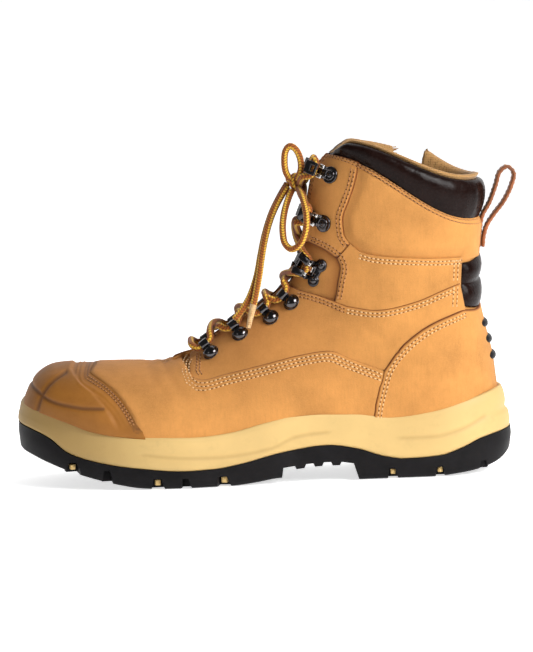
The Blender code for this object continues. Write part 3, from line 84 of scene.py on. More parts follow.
# Heights along the boot: x, z
LIP = [(-152.0, 53.0), (-135.0, 48.5), (-120.0, 43.8), (-105.0, 38.0), (-88.0, 34.4), (-66.0, 32.0),
       (-42.0, 30.8), (-20.0, 32.5), (5.0, 38.0), (32.0, 42.4), (56.0, 41.3), (84.0, 37.6),
       (110.0, 40.2), (130.0, 45.2), (154.0, 51.6)]
JOINT = [(-156.0, 39.5), (-145.0, 36.7), (-133.0, 32.0), (-120.0, 22.6), (-97.0, 16.2), (-75.0, 13.0),
         (-48.0, 10.8), (-30.0, 11.2), (-14.0, 13.5), (14.0, 19.6), (40.0, 22.4), (60.0, 19.2),
         (73.0, 14.8), (88.0, 12.2), (110.0, 13.2), (124.0, 17.3), (137.0, 22.6), (158.0, 27.0)]
TREAD = [(-156.0, 22.5), (-145.0, 19.2), (-138.0, 16.6), (-120.0, 10.4), (-104.0, 6.0), (-90.0, 2.8),
         (-76.0, 0.6), (-62.0, 0.0), (-20.0, 0.0), (-5.0, 1.2), (11.0, 3.2), (55.0, 0.0),
         (108.0, 0.0), (124.0, 1.2), (134.0, 2.4), (145.0, 5.0), (154.0, 9.4), (158.0, 14.0)]
BED = [(-152.0, 33.0), (-130.0, 27.5), (-100.0, 21.5), (-60.0, 18.3), (-20.0, 19.0), (20.0, 24.5),
       (60.0, 30.0), (100.0, 31.5), (152.0, 32.5)]
# Fan of sections of the last, from the toe tip to the collar rim; None rests on the bed
SECTION_COLUMNS = ("top_x", "top_z", "low_x", "low_z", "mid", "lateral", "medial",
                   "peak", "top_power", "low_power", "sag", "skew")
SECTIONS = [
    (-146.9, None, -146.9, None, 7.0, 0.0, 0.0, 0.50, 2.4, 2.0, 0.0, 0.0),
    (-147.6, 42.0, -145.8, None, 7.0, 12.0, 10.6, 0.50, 2.4, 2.0, 0.0, 0.0),
    (-146.8, 50.0, -142.0, None, 7.0, 21.7, 17.8, 0.48, 2.4, 2.0, 0.0, 0.0),
    (-144.0, 58.0, -135.0, None, 7.0, 31.3, 24.6, 0.44, 2.4, 2.0, 0.0, 0.0),
    (-138.0, 66.5, -123.0, None, 6.0, 40.6, 32.8, 0.40, 2.4, 2.0, 0.0, 0.0),
    (-128.0, 71.0, -105.0, None, 5.0, 48.8, 39.8, 0.36, 2.4, 2.0, 0.0, 0.0),
    (-108.0, 72.0, -82.0, None, 3.5, 53.2, 44.4, 0.33, 2.3, 2.0, 0.0, 0.0),
    (-86.0, 72.0, -56.0, None, 2.0, 54.0, 45.6, 0.30, 2.2, 2.0, 0.0, 0.0),
    (-64.0, 71.3, -28.0, None, 1.0, 51.3, 42.5, 0.28, 2.05, 2.0, 0.0, 0.0),
    (-43.0, 78.0, -2.0, None, 0.5, 47.4, 39.5, 0.27, 1.95, 2.0, 0.0, 0.0),
    (-28.0, 89.5, 25.0, None, 0.0, 43.8, 37.0, 0.27, 1.9, 2.0, 0.0, 0.0),
    (-13.0, 99.3, 52.0, None, 0.0, 41.3, 37.0, 0.28, 1.9, 2.0, 0.0, 0.0),
    (0.0, 107.5, 80.0, None, 0.0, 40.0, 37.5, 0.30, 1.95, 2.0, 0.0, 0.0),
    (10.0, 114.3, 110.0, None, 0.0, 39.5, 38.3, 0.33, 2.0, 2.0, 0.0, 0.0),
    (17.0, 120.5, 136.0, None, 0.0, 40.0, 39.3, 0.37, 2.05, 2.1, 0.0, 0.0),
    (21.0, 126.5, 148.5, None, 0.0, 39.5, 39.0, 0.40, 2.1, 2.2, 0.0, 0.0),
    (23.5, 132.0, 148.4, 43.0, 0.0, 39.0, 38.8, 0.42, 2.1, 2.2, 0.0, 0.0),
    (25.5, 138.5, 147.2, 54.0, 0.0, 38.5, 38.5, 0.43, 2.1, 2.2, 0.0, 0.0),
    (28.0, 149.0, 145.3, 71.0, 0.0, 37.4, 37.4, 0.44, 2.1, 2.2, 0.0, 0.0),
    (30.3, 162.0, 140.7, 92.0, 0.0, 36.2, 36.2, 0.45, 2.1, 2.2, 0.0, 0.0),
    (32.8, 176.0, 137.6, 112.0, 0.0, 36.0, 36.0, 0.46, 2.15, 2.2, 0.0, 4.0),
    (37.0, 190.5, 138.3, 136.0, 0.0, 37.0, 37.0, 0.47, 2.2, 2.2, -0.6, 22.0),
    (46.0, 200.5, 140.6, 160.0, 0.0, 38.2, 38.2, 0.47, 2.3, 2.2, -1.8, 52.0),
    (50.0, 209.3, 141.6, 186.0, 0.0, 37.6, 37.6, 0.47, 2.4, 2.2, -0.4, 38.0),
    (51.5, 221.3, 142.4, 198.0, 0.0, 37.2, 37.2, 0.47, 2.4, 2.2, -0.4, 38.0),
]
CORNER_ROW = 15.0
HEEL_LIP_ROW = 16.8
THROAT_ROW = 9.0
EDGE_ROW = 22.0
THROAT_GAP = [(0.0, 7.0), (9.0, 7.0), (15.0, 8.5), (20.0, 10.0), (24.0, 13.0)]

# Panel edges on the side of the upper: x, z
CAP_EDGE = [(-106.0, 68.5), (-101.5, 66.0), (-93.0, 61.0), (-86.0, 54.6), (-80.4, 47.2), (-75.8, 38.4)]
CAP_ROOF_X = -103.5
CAP_LIP_X = -73.2
CAP_RIDGE = [(-116.7, 78.0), (-118.0, 70.2), (-112.5, 64.0), (-103.6, 57.6), (-96.7, 50.7), (-92.5, 45.6),
             (-89.5, 39.9), (-87.0, 32.0)]
CAP_GROOVES = [
    [(-143.2, 62.8), (-137.0, 59.1), (-129.5, 54.7), (-118.3, 51.5), (-107.3, 49.8), (-96.6, 49.3)],
    [(-120.7, 68.3), (-127.3, 64.3), (-132.5, 58.7), (-135.2, 53.0), (-136.9, 48.0)],
]
FACING_FOOT = (-41.5, 64.8)
WING_EDGE = [(-36.3, 63.2), (-21.3, 66.7), (8.7, 73.6), (24.0, 77.2), (42.5, 79.7), (58.3, 73.8),
             (76.4, 66.8)]
COUNTER_FRONT = [(68.6, 38.0), (70.0, 46.0), (73.0, 56.7), (76.4, 66.8)]
COUNTER_TOP = [(76.4, 66.8), (88.1, 81.8), (105.3, 94.1), (126.2, 102.0)]
COUNTER_LIP_X = 68.6
COUNTER_BACK_Z = 105.5
QUARTER_TOP = [(26.3, 116.8), (39.0, 113.6), (55.5, 107.1), (73.8, 104.4), (95.8, 108.2), (114.5, 115.0),
               (124.7, 118.4)]
WINDOW_EDGE = [(47.9, 111.3), (50.3, 122.4), (52.2, 130.7), (50.3, 135.9)]
WINDOW_ROOF = [(33.5, 146.2), (43.8, 141.2), (50.3, 135.9)]
COLLAR_SEAM = [(65.0, 191.5), (62.9, 182.5), (58.9, 171.7), (54.8, 159.9), (55.5, 150.7), (58.9, 145.1)]
COLLAR_BASE = [(58.9, 145.1), (64.2, 140.3), (73.3, 137.7), (91.6, 135.7), (119.0, 134.4), (127.0, 134.4)]
PAD_FRONT = [(127.0, 131.0), (126.6, 127.7), (125.9, 116.6), (125.0, 104.5)]
ZIP_LINE = [(90.0, 93.6), (115.0, 95.0), (140.0, 97.0), (172.0, 99.3)]
COLLAR_GAP = (91.0, 108.0)
RING_EYELETS = [(-29.1, 78.6), (-10.8, 89.6), (8.6, 99.4), (21.9, 108.6)]
LOCK_HOOK = (38.0, 127.4)
SPEED_HOOKS = [(43.7, 158.0), (48.9, 187.6)]
PULL_LOOP = [(139.9, 139.0), (141.2, 151.5), (143.0, 159.0), (147.4, 166.5), (151.6, 177.0), (154.6, 185.6),
             (159.4, 188.6), (163.2, 184.6), (161.6, 177.0), (156.4, 167.0), (150.4, 159.5), (145.6, 152.5),
             (143.4, 146.0), (142.5, 139.0)]
# Bow of the lace: x, y, z along each cord
KNOT = [(27.4, -4.6, 183.0), (23.2, -3.0, 184.0), (22.2, 0.4, 185.8), (23.4, 3.8, 185.8), (27.0, 5.4, 185.0)]
LOOP_UP = [(27.6, -7.8, 185.8), (30.0, -13.2, 192.0), (29.4, -14.6, 199.4), (26.6, -14.6, 204.8),
           (23.4, -14.2, 206.4), (20.8, -13.6, 203.6), (19.8, -12.4, 197.4), (20.4, -10.6, 190.6),
           (22.6, -8.4, 186.0)]
LOOP_DOWN = [(28.2, -8.4, 179.6), (29.4, -16.6, 177.0), (30.8, -25.0, 172.2), (32.2, -33.0, 163.4),
             (31.2, -36.0, 154.0), (27.6, -35.0, 146.4), (22.4, -32.0, 143.4), (18.4, -28.6, 146.6),
             (17.2, -24.0, 155.6), (18.6, -18.0, 165.4), (22.0, -11.0, 175.0), (23.8, -8.0, 178.4)]
END_ONE = [(21.2, -3.2, 180.9), (15.6, -6.0, 172.6), (10.6, -10.0, 163.0), (6.6, -15.0, 151.4),
           (3.8, -19.6, 139.2), (1.6, -24.0, 127.0), (-1.6, -28.6, 113.0), (-4.4, -31.6, 102.6),
           (-6.2, -33.4, 95.4)]
END_TWO = [(21.2, 2.0, 182.5), (15.4, -1.2, 173.4), (10.2, -5.2, 163.4), (6.0, -10.2, 151.6),
           (3.0, -15.0, 139.4), (0.2, -19.6, 127.0), (-4.4, -24.2, 114.8), (-9.4, -27.2, 106.8),
           (-14.6, -29.4, 101.0)]
# Grooves of the tread: x, turn in degrees, width
GROOVES = [(-128.0, 14.0, 5.5), (-103.0, 8.0, 5.0), (-70.5, 6.0, 6.5), (-42.5, -5.0, 5.0),
           (-15.0, -10.0, 6.5), (83.0, -4.0, 5.0), (106.0, 5.0, 5.0), (130.0, 12.0, 5.0)]
# Channels along the tread: first x, last x, y
CHANNELS = [(-134.0, -6.0, 5.0), (64.0, 140.0, 0.0)]
ARCH = [(10.0, -6.0), (12.5, 9.6), (19.5, 10.4), (20.5, 8.4), (25.5, 8.8), (26.5, 11.2), (31.0, 11.5),
        (32.0, 9.4), (36.5, 9.6), (37.5, 11.8), (42.0, 11.8), (43.0, 9.6), (47.5, 9.6), (48.5, 11.6),
        (56.0, 10.4), (61.0, -6.0)]

# How far each layer of leather stands out from the last
BASE_TOP = 0.0
SHAFT_TOP = 1.4
QUARTER_LIFT = 2.1
VAMP_LIFT = 2.8
COUNTER_LIFT = 3.4
CAP_LIFT = 3.3
LEATHER = 1.5
UNDER = 3.0
STEP = 2.2
LINE_STEP = 3.0
EDGE_ROUND = 1.4
EDGE_FALL = 0.8
CUT_ZONE = 2.6
FIND_ROUNDS = 16
BISECT_ROUNDS = 26
FAR = 99.0


# Curves and the last

def walked(points):
    """Distance along a run of points, 0 at its start."""
    return np.concatenate(([0.0], np.cumsum(np.linalg.norm(np.diff(points, axis=0), axis=1))))


def sampled(goals, walk, points):
    """Points at distances along a run of points."""
    return np.stack([np.interp(goals, walk, column) for column in points.T], axis=-1)


def slopes(xs, ys):
    """Slopes of a smooth curve through the points that never overshoots them."""
    step = np.diff(xs)
    rise = np.diff(ys) / step
    slope = np.zeros(len(xs))
    slope[0] = rise[0]
    slope[-1] = rise[-1]
    for i in range(1, len(xs) - 1):
        if rise[i - 1] * rise[i] > 0:
            w1 = 2 * step[i] + step[i - 1]
            w2 = step[i] + 2 * step[i - 1]
            slope[i] = (w1 + w2) / (w1 / rise[i - 1] + w2 / rise[i])
    return slope


class Curve:
    """Smooth curve through a short table of x, z rows; takes arrays."""

    def __init__(self, rows):
        self.xs = np.array([row[0] for row in rows], float)
        self.ys = np.array([row[1] for row in rows], float)
        self.slopes = slopes(self.xs, self.ys)

    def __call__(self, x):
        x = np.clip(np.asarray(x, float), self.xs[0], self.xs[-1])
        i = np.clip(np.searchsorted(self.xs, x, side="right") - 1, 0, len(self.xs) - 2)
        span = self.xs[i + 1] - self.xs[i]
        t = (x - self.xs[i]) / span
        a = (1 + 2 * t) * (1 - t) ** 2 * self.ys[i]
        b = t * (1 - t) ** 2 * span * self.slopes[i]
        c = t * t * (3 - 2 * t) * self.ys[i + 1]
        d = t * t * (t - 1) * span * self.slopes[i + 1]
        return a + b + c + d


lip_height = Curve(LIP)
joint_height = Curve(JOINT)
tread_height = Curve(TREAD)
bed_height = Curve(BED)
throat_gap = Curve(THROAT_GAP)
zip_x = Curve(ZIP_LINE)
plan_width = {side: Curve(PLAN[side]) for side in SIDES}


def plan_edge(x, side, inset, toe_x, heel_x):
    """Signed y of the plan outline, moved in by inset, with round ends at toe_x and heel_x."""
    x = np.asarray(x, float)
    ball_x, ball_width = PLAN[side][0]
    heel_start, heel_width = PLAN[side][-1]
    front = np.clip((ball_x - x) / (ball_x - toe_x), 0.0, 1.0)
    reach = side * (ball_width - inset) - TOE_TIP_Y
    toe = TOE_TIP_Y + reach * (1.0 - front ** TOE_POWER) ** (1.0 / TOE_POWER)
    back = np.clip((x - heel_start) / (heel_x - heel_start), 0.0, 1.0)
    heel = side * (heel_width - inset) * (1.0 - back ** HEEL_POWER) ** (1.0 / HEEL_POWER)
    middle = side * (plan_width[side](x) - inset)
    return np.where(x < ball_x, toe, np.where(x > heel_start, heel, middle))


def section_table():
    columns = {}
    low_x = SECTION_COLUMNS.index("low_x")
    for index, name in enumerate(SECTION_COLUMNS):
        values = [bed_height(row[low_x]) + 0.3 if row[index] is None else row[index] for row in SECTIONS]
        columns[name] = Curve(list(enumerate(values)))
    return columns


LAST = section_table()
LAST_ROW = float(len(SECTIONS) - 1)


def section_width(row, h, side):
    """Half width of the last at height share h of a section."""
    mid = LAST["mid"](row)
    full = np.maximum(LAST["lateral" if side == LATERAL else "medial"](row), 1e-6)
    peak = LAST["peak"](row)
    power = LAST["top_power"](row)
    share = np.clip((h - peak) / (1.0 - peak), 0.0, 1.0)
    above = full * (1.0 - share ** power) ** (1.0 / power)
    feather = plan_edge(LAST["low_x"](row), side, FEATHER_INSET, FEATHER_TOE_X, FEATHER_HEEL_X)
    low = np.where(row < CORNER_ROW, np.maximum(side * (feather - mid), 0.0), 0.0)
    power = LAST["low_power"](row)
    share = np.clip((peak - h) / peak, 0.0, 1.0)
    keep = 1.0 - np.minimum(low / full, 1.0) ** power
    below = full * np.maximum(1.0 - keep * share ** power, 0.0) ** (1.0 / power)
    return np.where(h >= peak, above, below)


def paired(row, phi):
    return np.broadcast_arrays(np.asarray(row, float), np.asarray(phi, float))


def section(row, phi, side):
    """Points of the last: row picks the section, phi runs 0 at its low end to 1 at its top."""
    row, phi = paired(row, phi)
    h = 0.5 - 0.5 * np.cos(np.pi * phi)
    x = LAST["low_x"](row) + h * (LAST["top_x"](row) - LAST["low_x"](row))
    z = LAST["low_z"](row) + h * (LAST["top_z"](row) - LAST["low_z"](row))
    bow = h * (1.0 - h)
    z = z + 4.0 * bow * LAST["sag"](row) + bow * (2.0 * h - 1.0) * LAST["skew"](row)
    y = LAST["mid"](row) + side * section_width(row, h, side)
    return np.stack((x, y, z), axis=-1)


def outward(row, phi, side):
    """Unit normals of the last, pointing out."""
    row, phi = paired(row, phi)
    step = 0.01
    ahead = section(np.minimum(row + step, LAST_ROW), phi, side)
    behind = section(np.maximum(row - step, 0.0), phi, side)
    above = section(row, np.minimum(phi + step, 1.0), side)
    below = section(row, np.maximum(phi - step, 0.0), side)
    normal = np.cross(ahead - behind, above - below)
    size = np.linalg.norm(normal, axis=-1, keepdims=True)
    normal = np.where(size > 1e-9, normal / np.maximum(size, 1e-9), np.array((0.0, side, 0.0)))
    middle = 0.5 * (section(row, 0.0, side) + section(row, 1.0, side))
    middle[..., 1] = LAST["mid"](row)
    flip = np.sum(normal * (section(row, phi, side) - middle), axis=-1, keepdims=True) < 0.0
    normal = np.where(flip, -normal, normal)
    return np.where((row < 0.05)[..., None], np.array((-0.96, 0.0, -0.28)), normal)


def lifted(row, phi, side, lift):
    """Points moved out from the last; its middle lines stay in the middle, its feather edge moves level."""
    row, phi = paired(row, phi)
    lift = np.broadcast_to(np.asarray(lift, float), row.shape)
    central = (phi > 0.9999) | ((phi < 0.0001) & (row >= CORNER_ROW))
    places = section(row, phi, side)
    normal = outward(row, phi, side)
    if side == MEDIAL and np.any(central):
        normal = np.where(central[..., None], outward(row, phi, LATERAL), normal)
        places = np.where(central[..., None], section(row, phi, LATERAL), places)
    normal[..., 1] = np.where(central, 0.0, normal[..., 1])
    normal[..., 2] = np.where((phi < 0.0001) & (row <= CORNER_ROW), 0.0, normal[..., 2])
    size = np.linalg.norm(normal, axis=-1, keepdims=True)
    return places + lift[..., None] * normal / np.maximum(size, 1e-9)


def build_guesses():
    """Rows, phis and points of a coarse grid on each side of the last."""
    guesses = {}
    rows, phis = np.meshgrid(np.arange(0.5, LAST_ROW + 0.01, 0.5), np.linspace(0.0, 1.0, 33), indexing="ij")
    for side in SIDES:
        points = section(rows, phis, side).reshape(-1, 3)
        guesses[side] = np.column_stack((rows.ravel(), phis.ravel(), points))
    return guesses


GUESSES = build_guesses()


def find_marks(side, points, axes=(0, 2), among=None):
    """Section rows and phis of points given by two coordinates."""
    goal = np.asarray(points, float).reshape(-1, 2)
    table = GUESSES[side]
    picks = [2 + axis for axis in axes]
    cost = ((table[None, :, picks] - goal[:, None, :]) ** 2).sum(axis=2)
    if among is not None:
        cost = np.where((table[:, 0] >= among[0]) & (table[:, 0] <= among[1]), cost, 1e9)
    best = table[np.argmin(cost, axis=1)]
    row = best[:, 0].copy()
    phi = best[:, 1].copy()
    step = 0.004
    for _ in range(FIND_ROUNDS):
        here = section(row, phi, side)[:, axes]
        phi_step = np.where(phi < 0.99, step, -step)
        along = (section(np.minimum(row + step, LAST_ROW), phi, side)[:, axes] - here) / step
        across = (section(row, phi + phi_step, side)[:, axes] - here) / phi_step[:, None]
        det = along[:, 0] * across[:, 1] - along[:, 1] * across[:, 0]
        det = np.where(np.abs(det) < 1e-9, 1e9, det)
        gap = goal - here
        move_row = (gap[:, 0] * across[:, 1] - gap[:, 1] * across[:, 0]) / det
        move_phi = (along[:, 0] * gap[:, 1] - along[:, 1] * gap[:, 0]) / det
        row = np.clip(row + np.clip(move_row, -0.6, 0.6), 0.02, LAST_ROW - 0.01)
        phi = np.clip(phi + np.clip(move_phi, -0.3, 0.3), 0.0, 1.0)
    return np.column_stack((row, phi))


def dense(points):
    """Smooth run of points through a short list of points."""
    points = np.asarray(points, float)
    walk = walked(points)
    curves = [Curve(list(zip(walk, points[:, k]))) for k in range(points.shape[1])]
    goals = np.linspace(0.0, walk[-1], max(int(walk[-1] / LINE_STEP), 2) + 1)
    return np.stack([curve(goals) for curve in curves], axis=-1)


def moved(points, distance):
    """Line of x, z points moved sideways, to the left of its run."""
    points = np.asarray(points, float)
    run = np.gradient(points, axis=0)
    run /= np.linalg.norm(run, axis=1, keepdims=True)
    return points + distance * np.column_stack((-run[:, 1], run[:, 0]))


def side_marks(side, points, shift=0.0):
    """Marks of a smooth x, z line on one side of the upper, moved sideways by shift."""
    return find_marks(side, moved(dense(points), shift))


def bisect(low, high, test):
    """Value between two ends where a test turns true, for arrays of ends."""
    low = np.array(low, float)
    high = np.array(high, float)
    for _ in range(BISECT_ROUNDS):
        middle = 0.5 * (low + high)
        yes = test(middle)
        high = np.where(yes, middle, high)
        low = np.where(yes, low, middle)
    return high


def lip_phi(row, side, rise):
    """phi where a section leaves the midsole, rise above the lip."""
    row = np.asarray(row, float)

    def above(phi):
        points = section(row, phi, side)
        return points[..., 2] - lip_height(points[..., 0]) - rise

    found = bisect(np.zeros_like(row), np.ones_like(row), lambda phi: above(phi) > 0.0)
    found = np.where(above(np.zeros_like(row)) >= 0.0, 0.0, found)
    return np.where(above(np.ones_like(row)) <= 0.0, 1.0, found)


def lip_marks(side, xs, rise):
    """Marks on the lip line at each x."""
    xs = np.atleast_1d(np.asarray(xs, float))
    rise = np.broadcast_to(np.asarray(rise, float), xs.shape)
    rows = bisect(np.full_like(xs, 2.0), np.full_like(xs, HEEL_LIP_ROW),
                  lambda row: section(row, lip_phi(row, side, rise), side)[..., 0] >= xs)
    return np.column_stack((rows, lip_phi(rows, side, rise)))


def roof_row(x):
    """Section row whose top lies at x."""
    return float(bisect(1.5, THROAT_ROW, lambda row: LAST["top_x"](row) >= x))


def back_row(z):
    """Section rows whose low ends lie at heights on the back."""
    z = np.asarray(z, float)
    return bisect(np.full_like(z, CORNER_ROW), np.full_like(z, LAST_ROW),
                  lambda row: LAST["low_z"](row) >= z)


def gap_phi(row, side):
    """phi of the facing edge of a section."""
    row = np.asarray(row, float)

    def narrow(phi):
        return section_width(row, 0.5 - 0.5 * np.cos(np.pi * phi), side) <= throat_gap(row)

    return bisect(np.full_like(row, 0.6), np.ones_like(row), narrow)


def facing_marks(side, first, last):
    """Marks of the facing edge between two section rows."""
    rows = np.linspace(first, last, 40)
    return np.column_stack((rows, gap_phi(rows, side)))


def edge_mark(side, x, row):
    """Mark on one section at x."""
    phi = bisect(0.0, 1.0, lambda phi: section(row, phi, side)[..., 0] <= x)
    return np.array([[row, float(phi)]])


def walk_length(marks, side):
    """Distance along a run of marks."""
    return walked(section(marks[:, 0], marks[:, 1], side))


def along_marks(marks, side, shares):
    """Marks at shares of the length of a run of marks."""
    marks = np.asarray(marks, float)
    walk = walk_length(marks, side)
    return sampled(np.asarray(shares, float) * walk[-1], walk, marks)


def spread_shares(length, step=STEP, first_cut=False, last_cut=False):
    """Shares along an edge, closer together beside a cut edge."""
    spots = np.linspace(0.0, length, max(int(round(length / step)), 2) + 1)
    fine = np.array((0.0, 0.3, 0.9, 1.6))
    if first_cut:
        spots = np.concatenate((fine, spots[spots > CUT_ZONE]))
    if last_cut:
        spots = np.concatenate((spots[spots < length - CUT_ZONE], length - fine[::-1]))
    return spots / length


def coons(bottom, top, left, right, u, v, clip=True):
    """Grid of marks inside four runs of marks; bottom and top run from left to right."""
    u = u[None, :, None]
    v = v[:, None, None]
    edges = (1 - v) * bottom[None] + v * top[None] + (1 - u) * left[:, None] + u * right[:, None]
    corners = ((1 - u) * (1 - v) * bottom[0] + u * (1 - v) * bottom[-1]
               + (1 - u) * v * top[0] + u * v * top[-1])
    grid = edges - corners
    if clip:
        grid[..., 1] = np.clip(grid[..., 1], 0.0, 1.0)
    return grid


def line_distance(points, line):
    """Distance of x, z points from a line, and the side of it they lie on."""
    flat = np.asarray(points, float).reshape(-1, 2)
    line = np.asarray(line, float)
    best = np.full(len(flat), 1e9)
    sign = np.ones(len(flat))
    for a, b in zip(line, line[1:]):
        run = b - a
        t = np.clip(((flat - a) @ run) / (run @ run), 0.0, 1.0)
        off = flat - (a + t[:, None] * run)
        size = np.linalg.norm(off, axis=1)
        turn = run[0] * (flat[:, 1] - a[1]) - run[1] * (flat[:, 0] - a[0])
        closer = size < best
        best = np.where(closer, size, best)
        sign = np.where(closer, np.sign(turn), sign)
    shape = np.asarray(points).shape[:-1]
    return best.reshape(shape), sign.reshape(shape)


PUFF_SEAM = dense(COLLAR_SEAM + COLLAR_BASE[1:])
WINDOW_LINE = dense(WINDOW_EDGE[:-1] + WINDOW_ROOF[::-1])


def smooth_step(value, low, high):
    t = np.clip((value - low) / (high - low), 0.0, 1.0)
    return t * t * (3.0 - 2.0 * t)


# Meshes

def select_only(thing):
    bpy.ops.object.select_all(action="DESELECT")
    thing.select_set(True)
    bpy.context.view_layer.objects.active = thing


def linked(name, data):
    """Object of some data in the scene."""
    made = bpy.data.objects.new(name, data)
    bpy.context.scene.collection.objects.link(made)
    return made


def apply_modifier(thing, kind, **settings):
    select_only(thing)
    step = thing.modifiers.new(kind.lower(), kind)
    for name, value in settings.items():
        setattr(step, name, value)
    bpy.ops.object.modifier_apply(modifier=step.name)
    return thing


def to_frame(points):
    return (np.asarray(points, float) + SHIFT) * MM


def settle(thing, nodes=()):
    """Put a piece on the boot and let it stand for CAD nodes."""
    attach(thing, "root")
    if nodes:
        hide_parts(*nodes)
    return thing


def mesh_piece(name, points, faces, paints, marks=None, uv=None, smooth=True):
    """Object from points in the boot's own frame, with named point values and one UV per point."""
    mesh = bpy.data.meshes.new(name)
    mesh.from_pydata(to_frame(points).tolist(), [], faces)
    for paint in paints:
        mesh.materials.append(bpy.data.materials[paint])
    if smooth:
        mesh.shade_smooth()
    for key, values in (marks or {}).items():
        layer = mesh.attributes.new(key, "FLOAT", "POINT")
        layer.data.foreach_set("value", np.asarray(values, np.float32))
    if uv is not None:
        layer = mesh.uv_layers.new(name="run")
        corners = np.zeros(len(mesh.loops), dtype=np.int32)
        mesh.loops.foreach_get("vertex_index", corners)
        layer.data.foreach_set("uv", np.asarray(uv, np.float32)[corners].ravel())
    mesh.update()
    return linked(name, mesh)


def mended(made, weld=0.0):
    """Piece with its faces turned out and points within weld joined."""
    shape = bmesh.new()
    shape.from_mesh(made.data)
    if weld:
        bmesh.ops.remove_doubles(shape, verts=shape.verts[:], dist=weld)
    bmesh.ops.recalc_face_normals(shape, faces=shape.faces[:])
    shape.to_mesh(made.data)
    shape.free()
    return made


def clean_loop(loop):
    """Corners of a face without repeats."""
    kept = []
    for corner in loop:
        if corner not in kept:
            kept.append(corner)
    return kept


class Skin:
    """Sheet on the last, welded from grids of marks, made into a leather piece by a solidify."""

    def __init__(self):
        self.keys = {}
        self.points = []
        self.edge = []
        self.shade = []
        self.faces = []

    def add(self, side, grid, lift, cuts="", relief=None, rim=1.7, tint=1.0, shade_lines=None, shade=None):
        """Add a grid; cuts names its cut edges, b, t, l and r, which rim and tint darken."""
        row = grid[..., 0]
        phi = grid[..., 1]
        base = section(row, phi, side)
        across = np.zeros(row.shape)
        across[:, 1:] = np.cumsum(np.linalg.norm(np.diff(base, axis=1), axis=2), axis=1)
        up = np.zeros(row.shape)
        up[1:, :] = np.cumsum(np.linalg.norm(np.diff(base, axis=0), axis=2), axis=0)
        away = np.full(row.shape, FAR)
        ways = {"l": across, "r": across[:, -1:] - across, "b": up, "t": up[-1:, :] - up}
        for cut in cuts:
            away = np.minimum(away, ways[cut])
        rise = np.broadcast_to(np.asarray(lift, float), row.shape).copy()
        if relief is not None:
            rise = rise + relief(base, away)
        rise = rise - EDGE_FALL * (1.0 - np.clip(away / EDGE_ROUND, 0.0, 1.0)) ** 2
        points = lifted(row, phi, side, rise)
        edge = np.clip(tint - away / rim, 0.0, 1.0)
        # A function given for the cap adds painted shade to the edge values.
        if shade_lines is not None:
            edge = np.maximum(edge, shade_lines(base))
        dim = np.zeros(row.shape) if shade is None else shade(base)
        numbers = np.zeros(row.shape, dtype=int)
        for j in range(row.shape[0]):
            for i in range(row.shape[1]):
                key = tuple(np.round(points[j, i], 3))
                if key not in self.keys:
                    self.keys[key] = len(self.points)
                    self.points.append(points[j, i])
                    self.edge.append(edge[j, i])
                    self.shade.append(dim[j, i])
                numbers[j, i] = self.keys[key]
        j, i = row.shape[0] // 2, row.shape[1] // 2
        turn = np.cross(points[j, i] - points[j, i - 1], points[j, i] - points[j - 1, i])
        flip = np.dot(turn, outward(row[j, i], phi[j, i], side)) < 0.0
        for a, b in zip(numbers, numbers[1:]):
            for k in range(len(a) - 1):
                loop = clean_loop((a[k], a[k + 1], b[k + 1], b[k]))
                if len(loop) > 2:
                    self.faces.append([int(n) for n in (reversed(loop) if flip else loop)])

    def build(self, name, paint, thick, nodes=(), slot=None):
        """Give the sheet its thickness; a second paint goes on the inside."""
        lined = isinstance(paint, tuple)
        made = mesh_piece(name, self.points, self.faces, paint if lined else (paint,),
                          {"edge": self.edge, "shade": self.shade})
        inner = {"material_offset": 1, "material_offset_rim": 0} if lined else {}
        apply_modifier(made, "SOLIDIFY", thickness=thick * MM, offset=-1.0, use_quality_normals=True,
                       **inner)
        return settle(made, nodes or (name,))


def swept(path, radius, sides=10, taper=None):
    """Points, faces and UVs of a round tube along a path."""
    path = np.asarray(path, float)
    run = np.gradient(path, axis=0)
    run /= np.linalg.norm(run, axis=1, keepdims=True)
    walk = walked(path)
    across = np.array((0.06, -1.0, 0.09))
    points, uv = [], []
    for i, point in enumerate(path):
        across = across - np.dot(across, run[i]) * run[i]
        across /= np.linalg.norm(across)
        other = np.cross(run[i], across)
        size = radius if taper is None else radius * taper[i]
        for k in range(sides + 1):
            angle = 2.0 * math.pi * k / sides
            points.append(point + size * (math.cos(angle) * across + math.sin(angle) * other))
            uv.append((k / sides, walk[i] / (2.0 * math.pi * radius)))
    faces = []
    width = sides + 1
    for i in range(len(path) - 1):
        for k in range(sides):
            faces.append([i * width + k, i * width + k + 1, (i + 1) * width + k + 1, (i + 1) * width + k])
    faces.append([k for k in range(sides)][::-1])
    faces.append([(len(path) - 1) * width + k for k in range(sides)])
    return np.array(points), faces, np.array(uv)


def tube_piece(name, paths, radius, paint, sides=12, taper=None):
    """One mesh of several tubes, with UVs along each."""
    points, faces, uv = [], [], []
    for path in paths:
        more, loops, where = swept(path, radius, sides, taper)
        start = len(points)
        points.extend(more)
        faces.extend([[n + start for n in loop] for loop in loops])
        uv.extend(where)
    return mesh_piece(name, points, faces, (paint,), uv=uv)


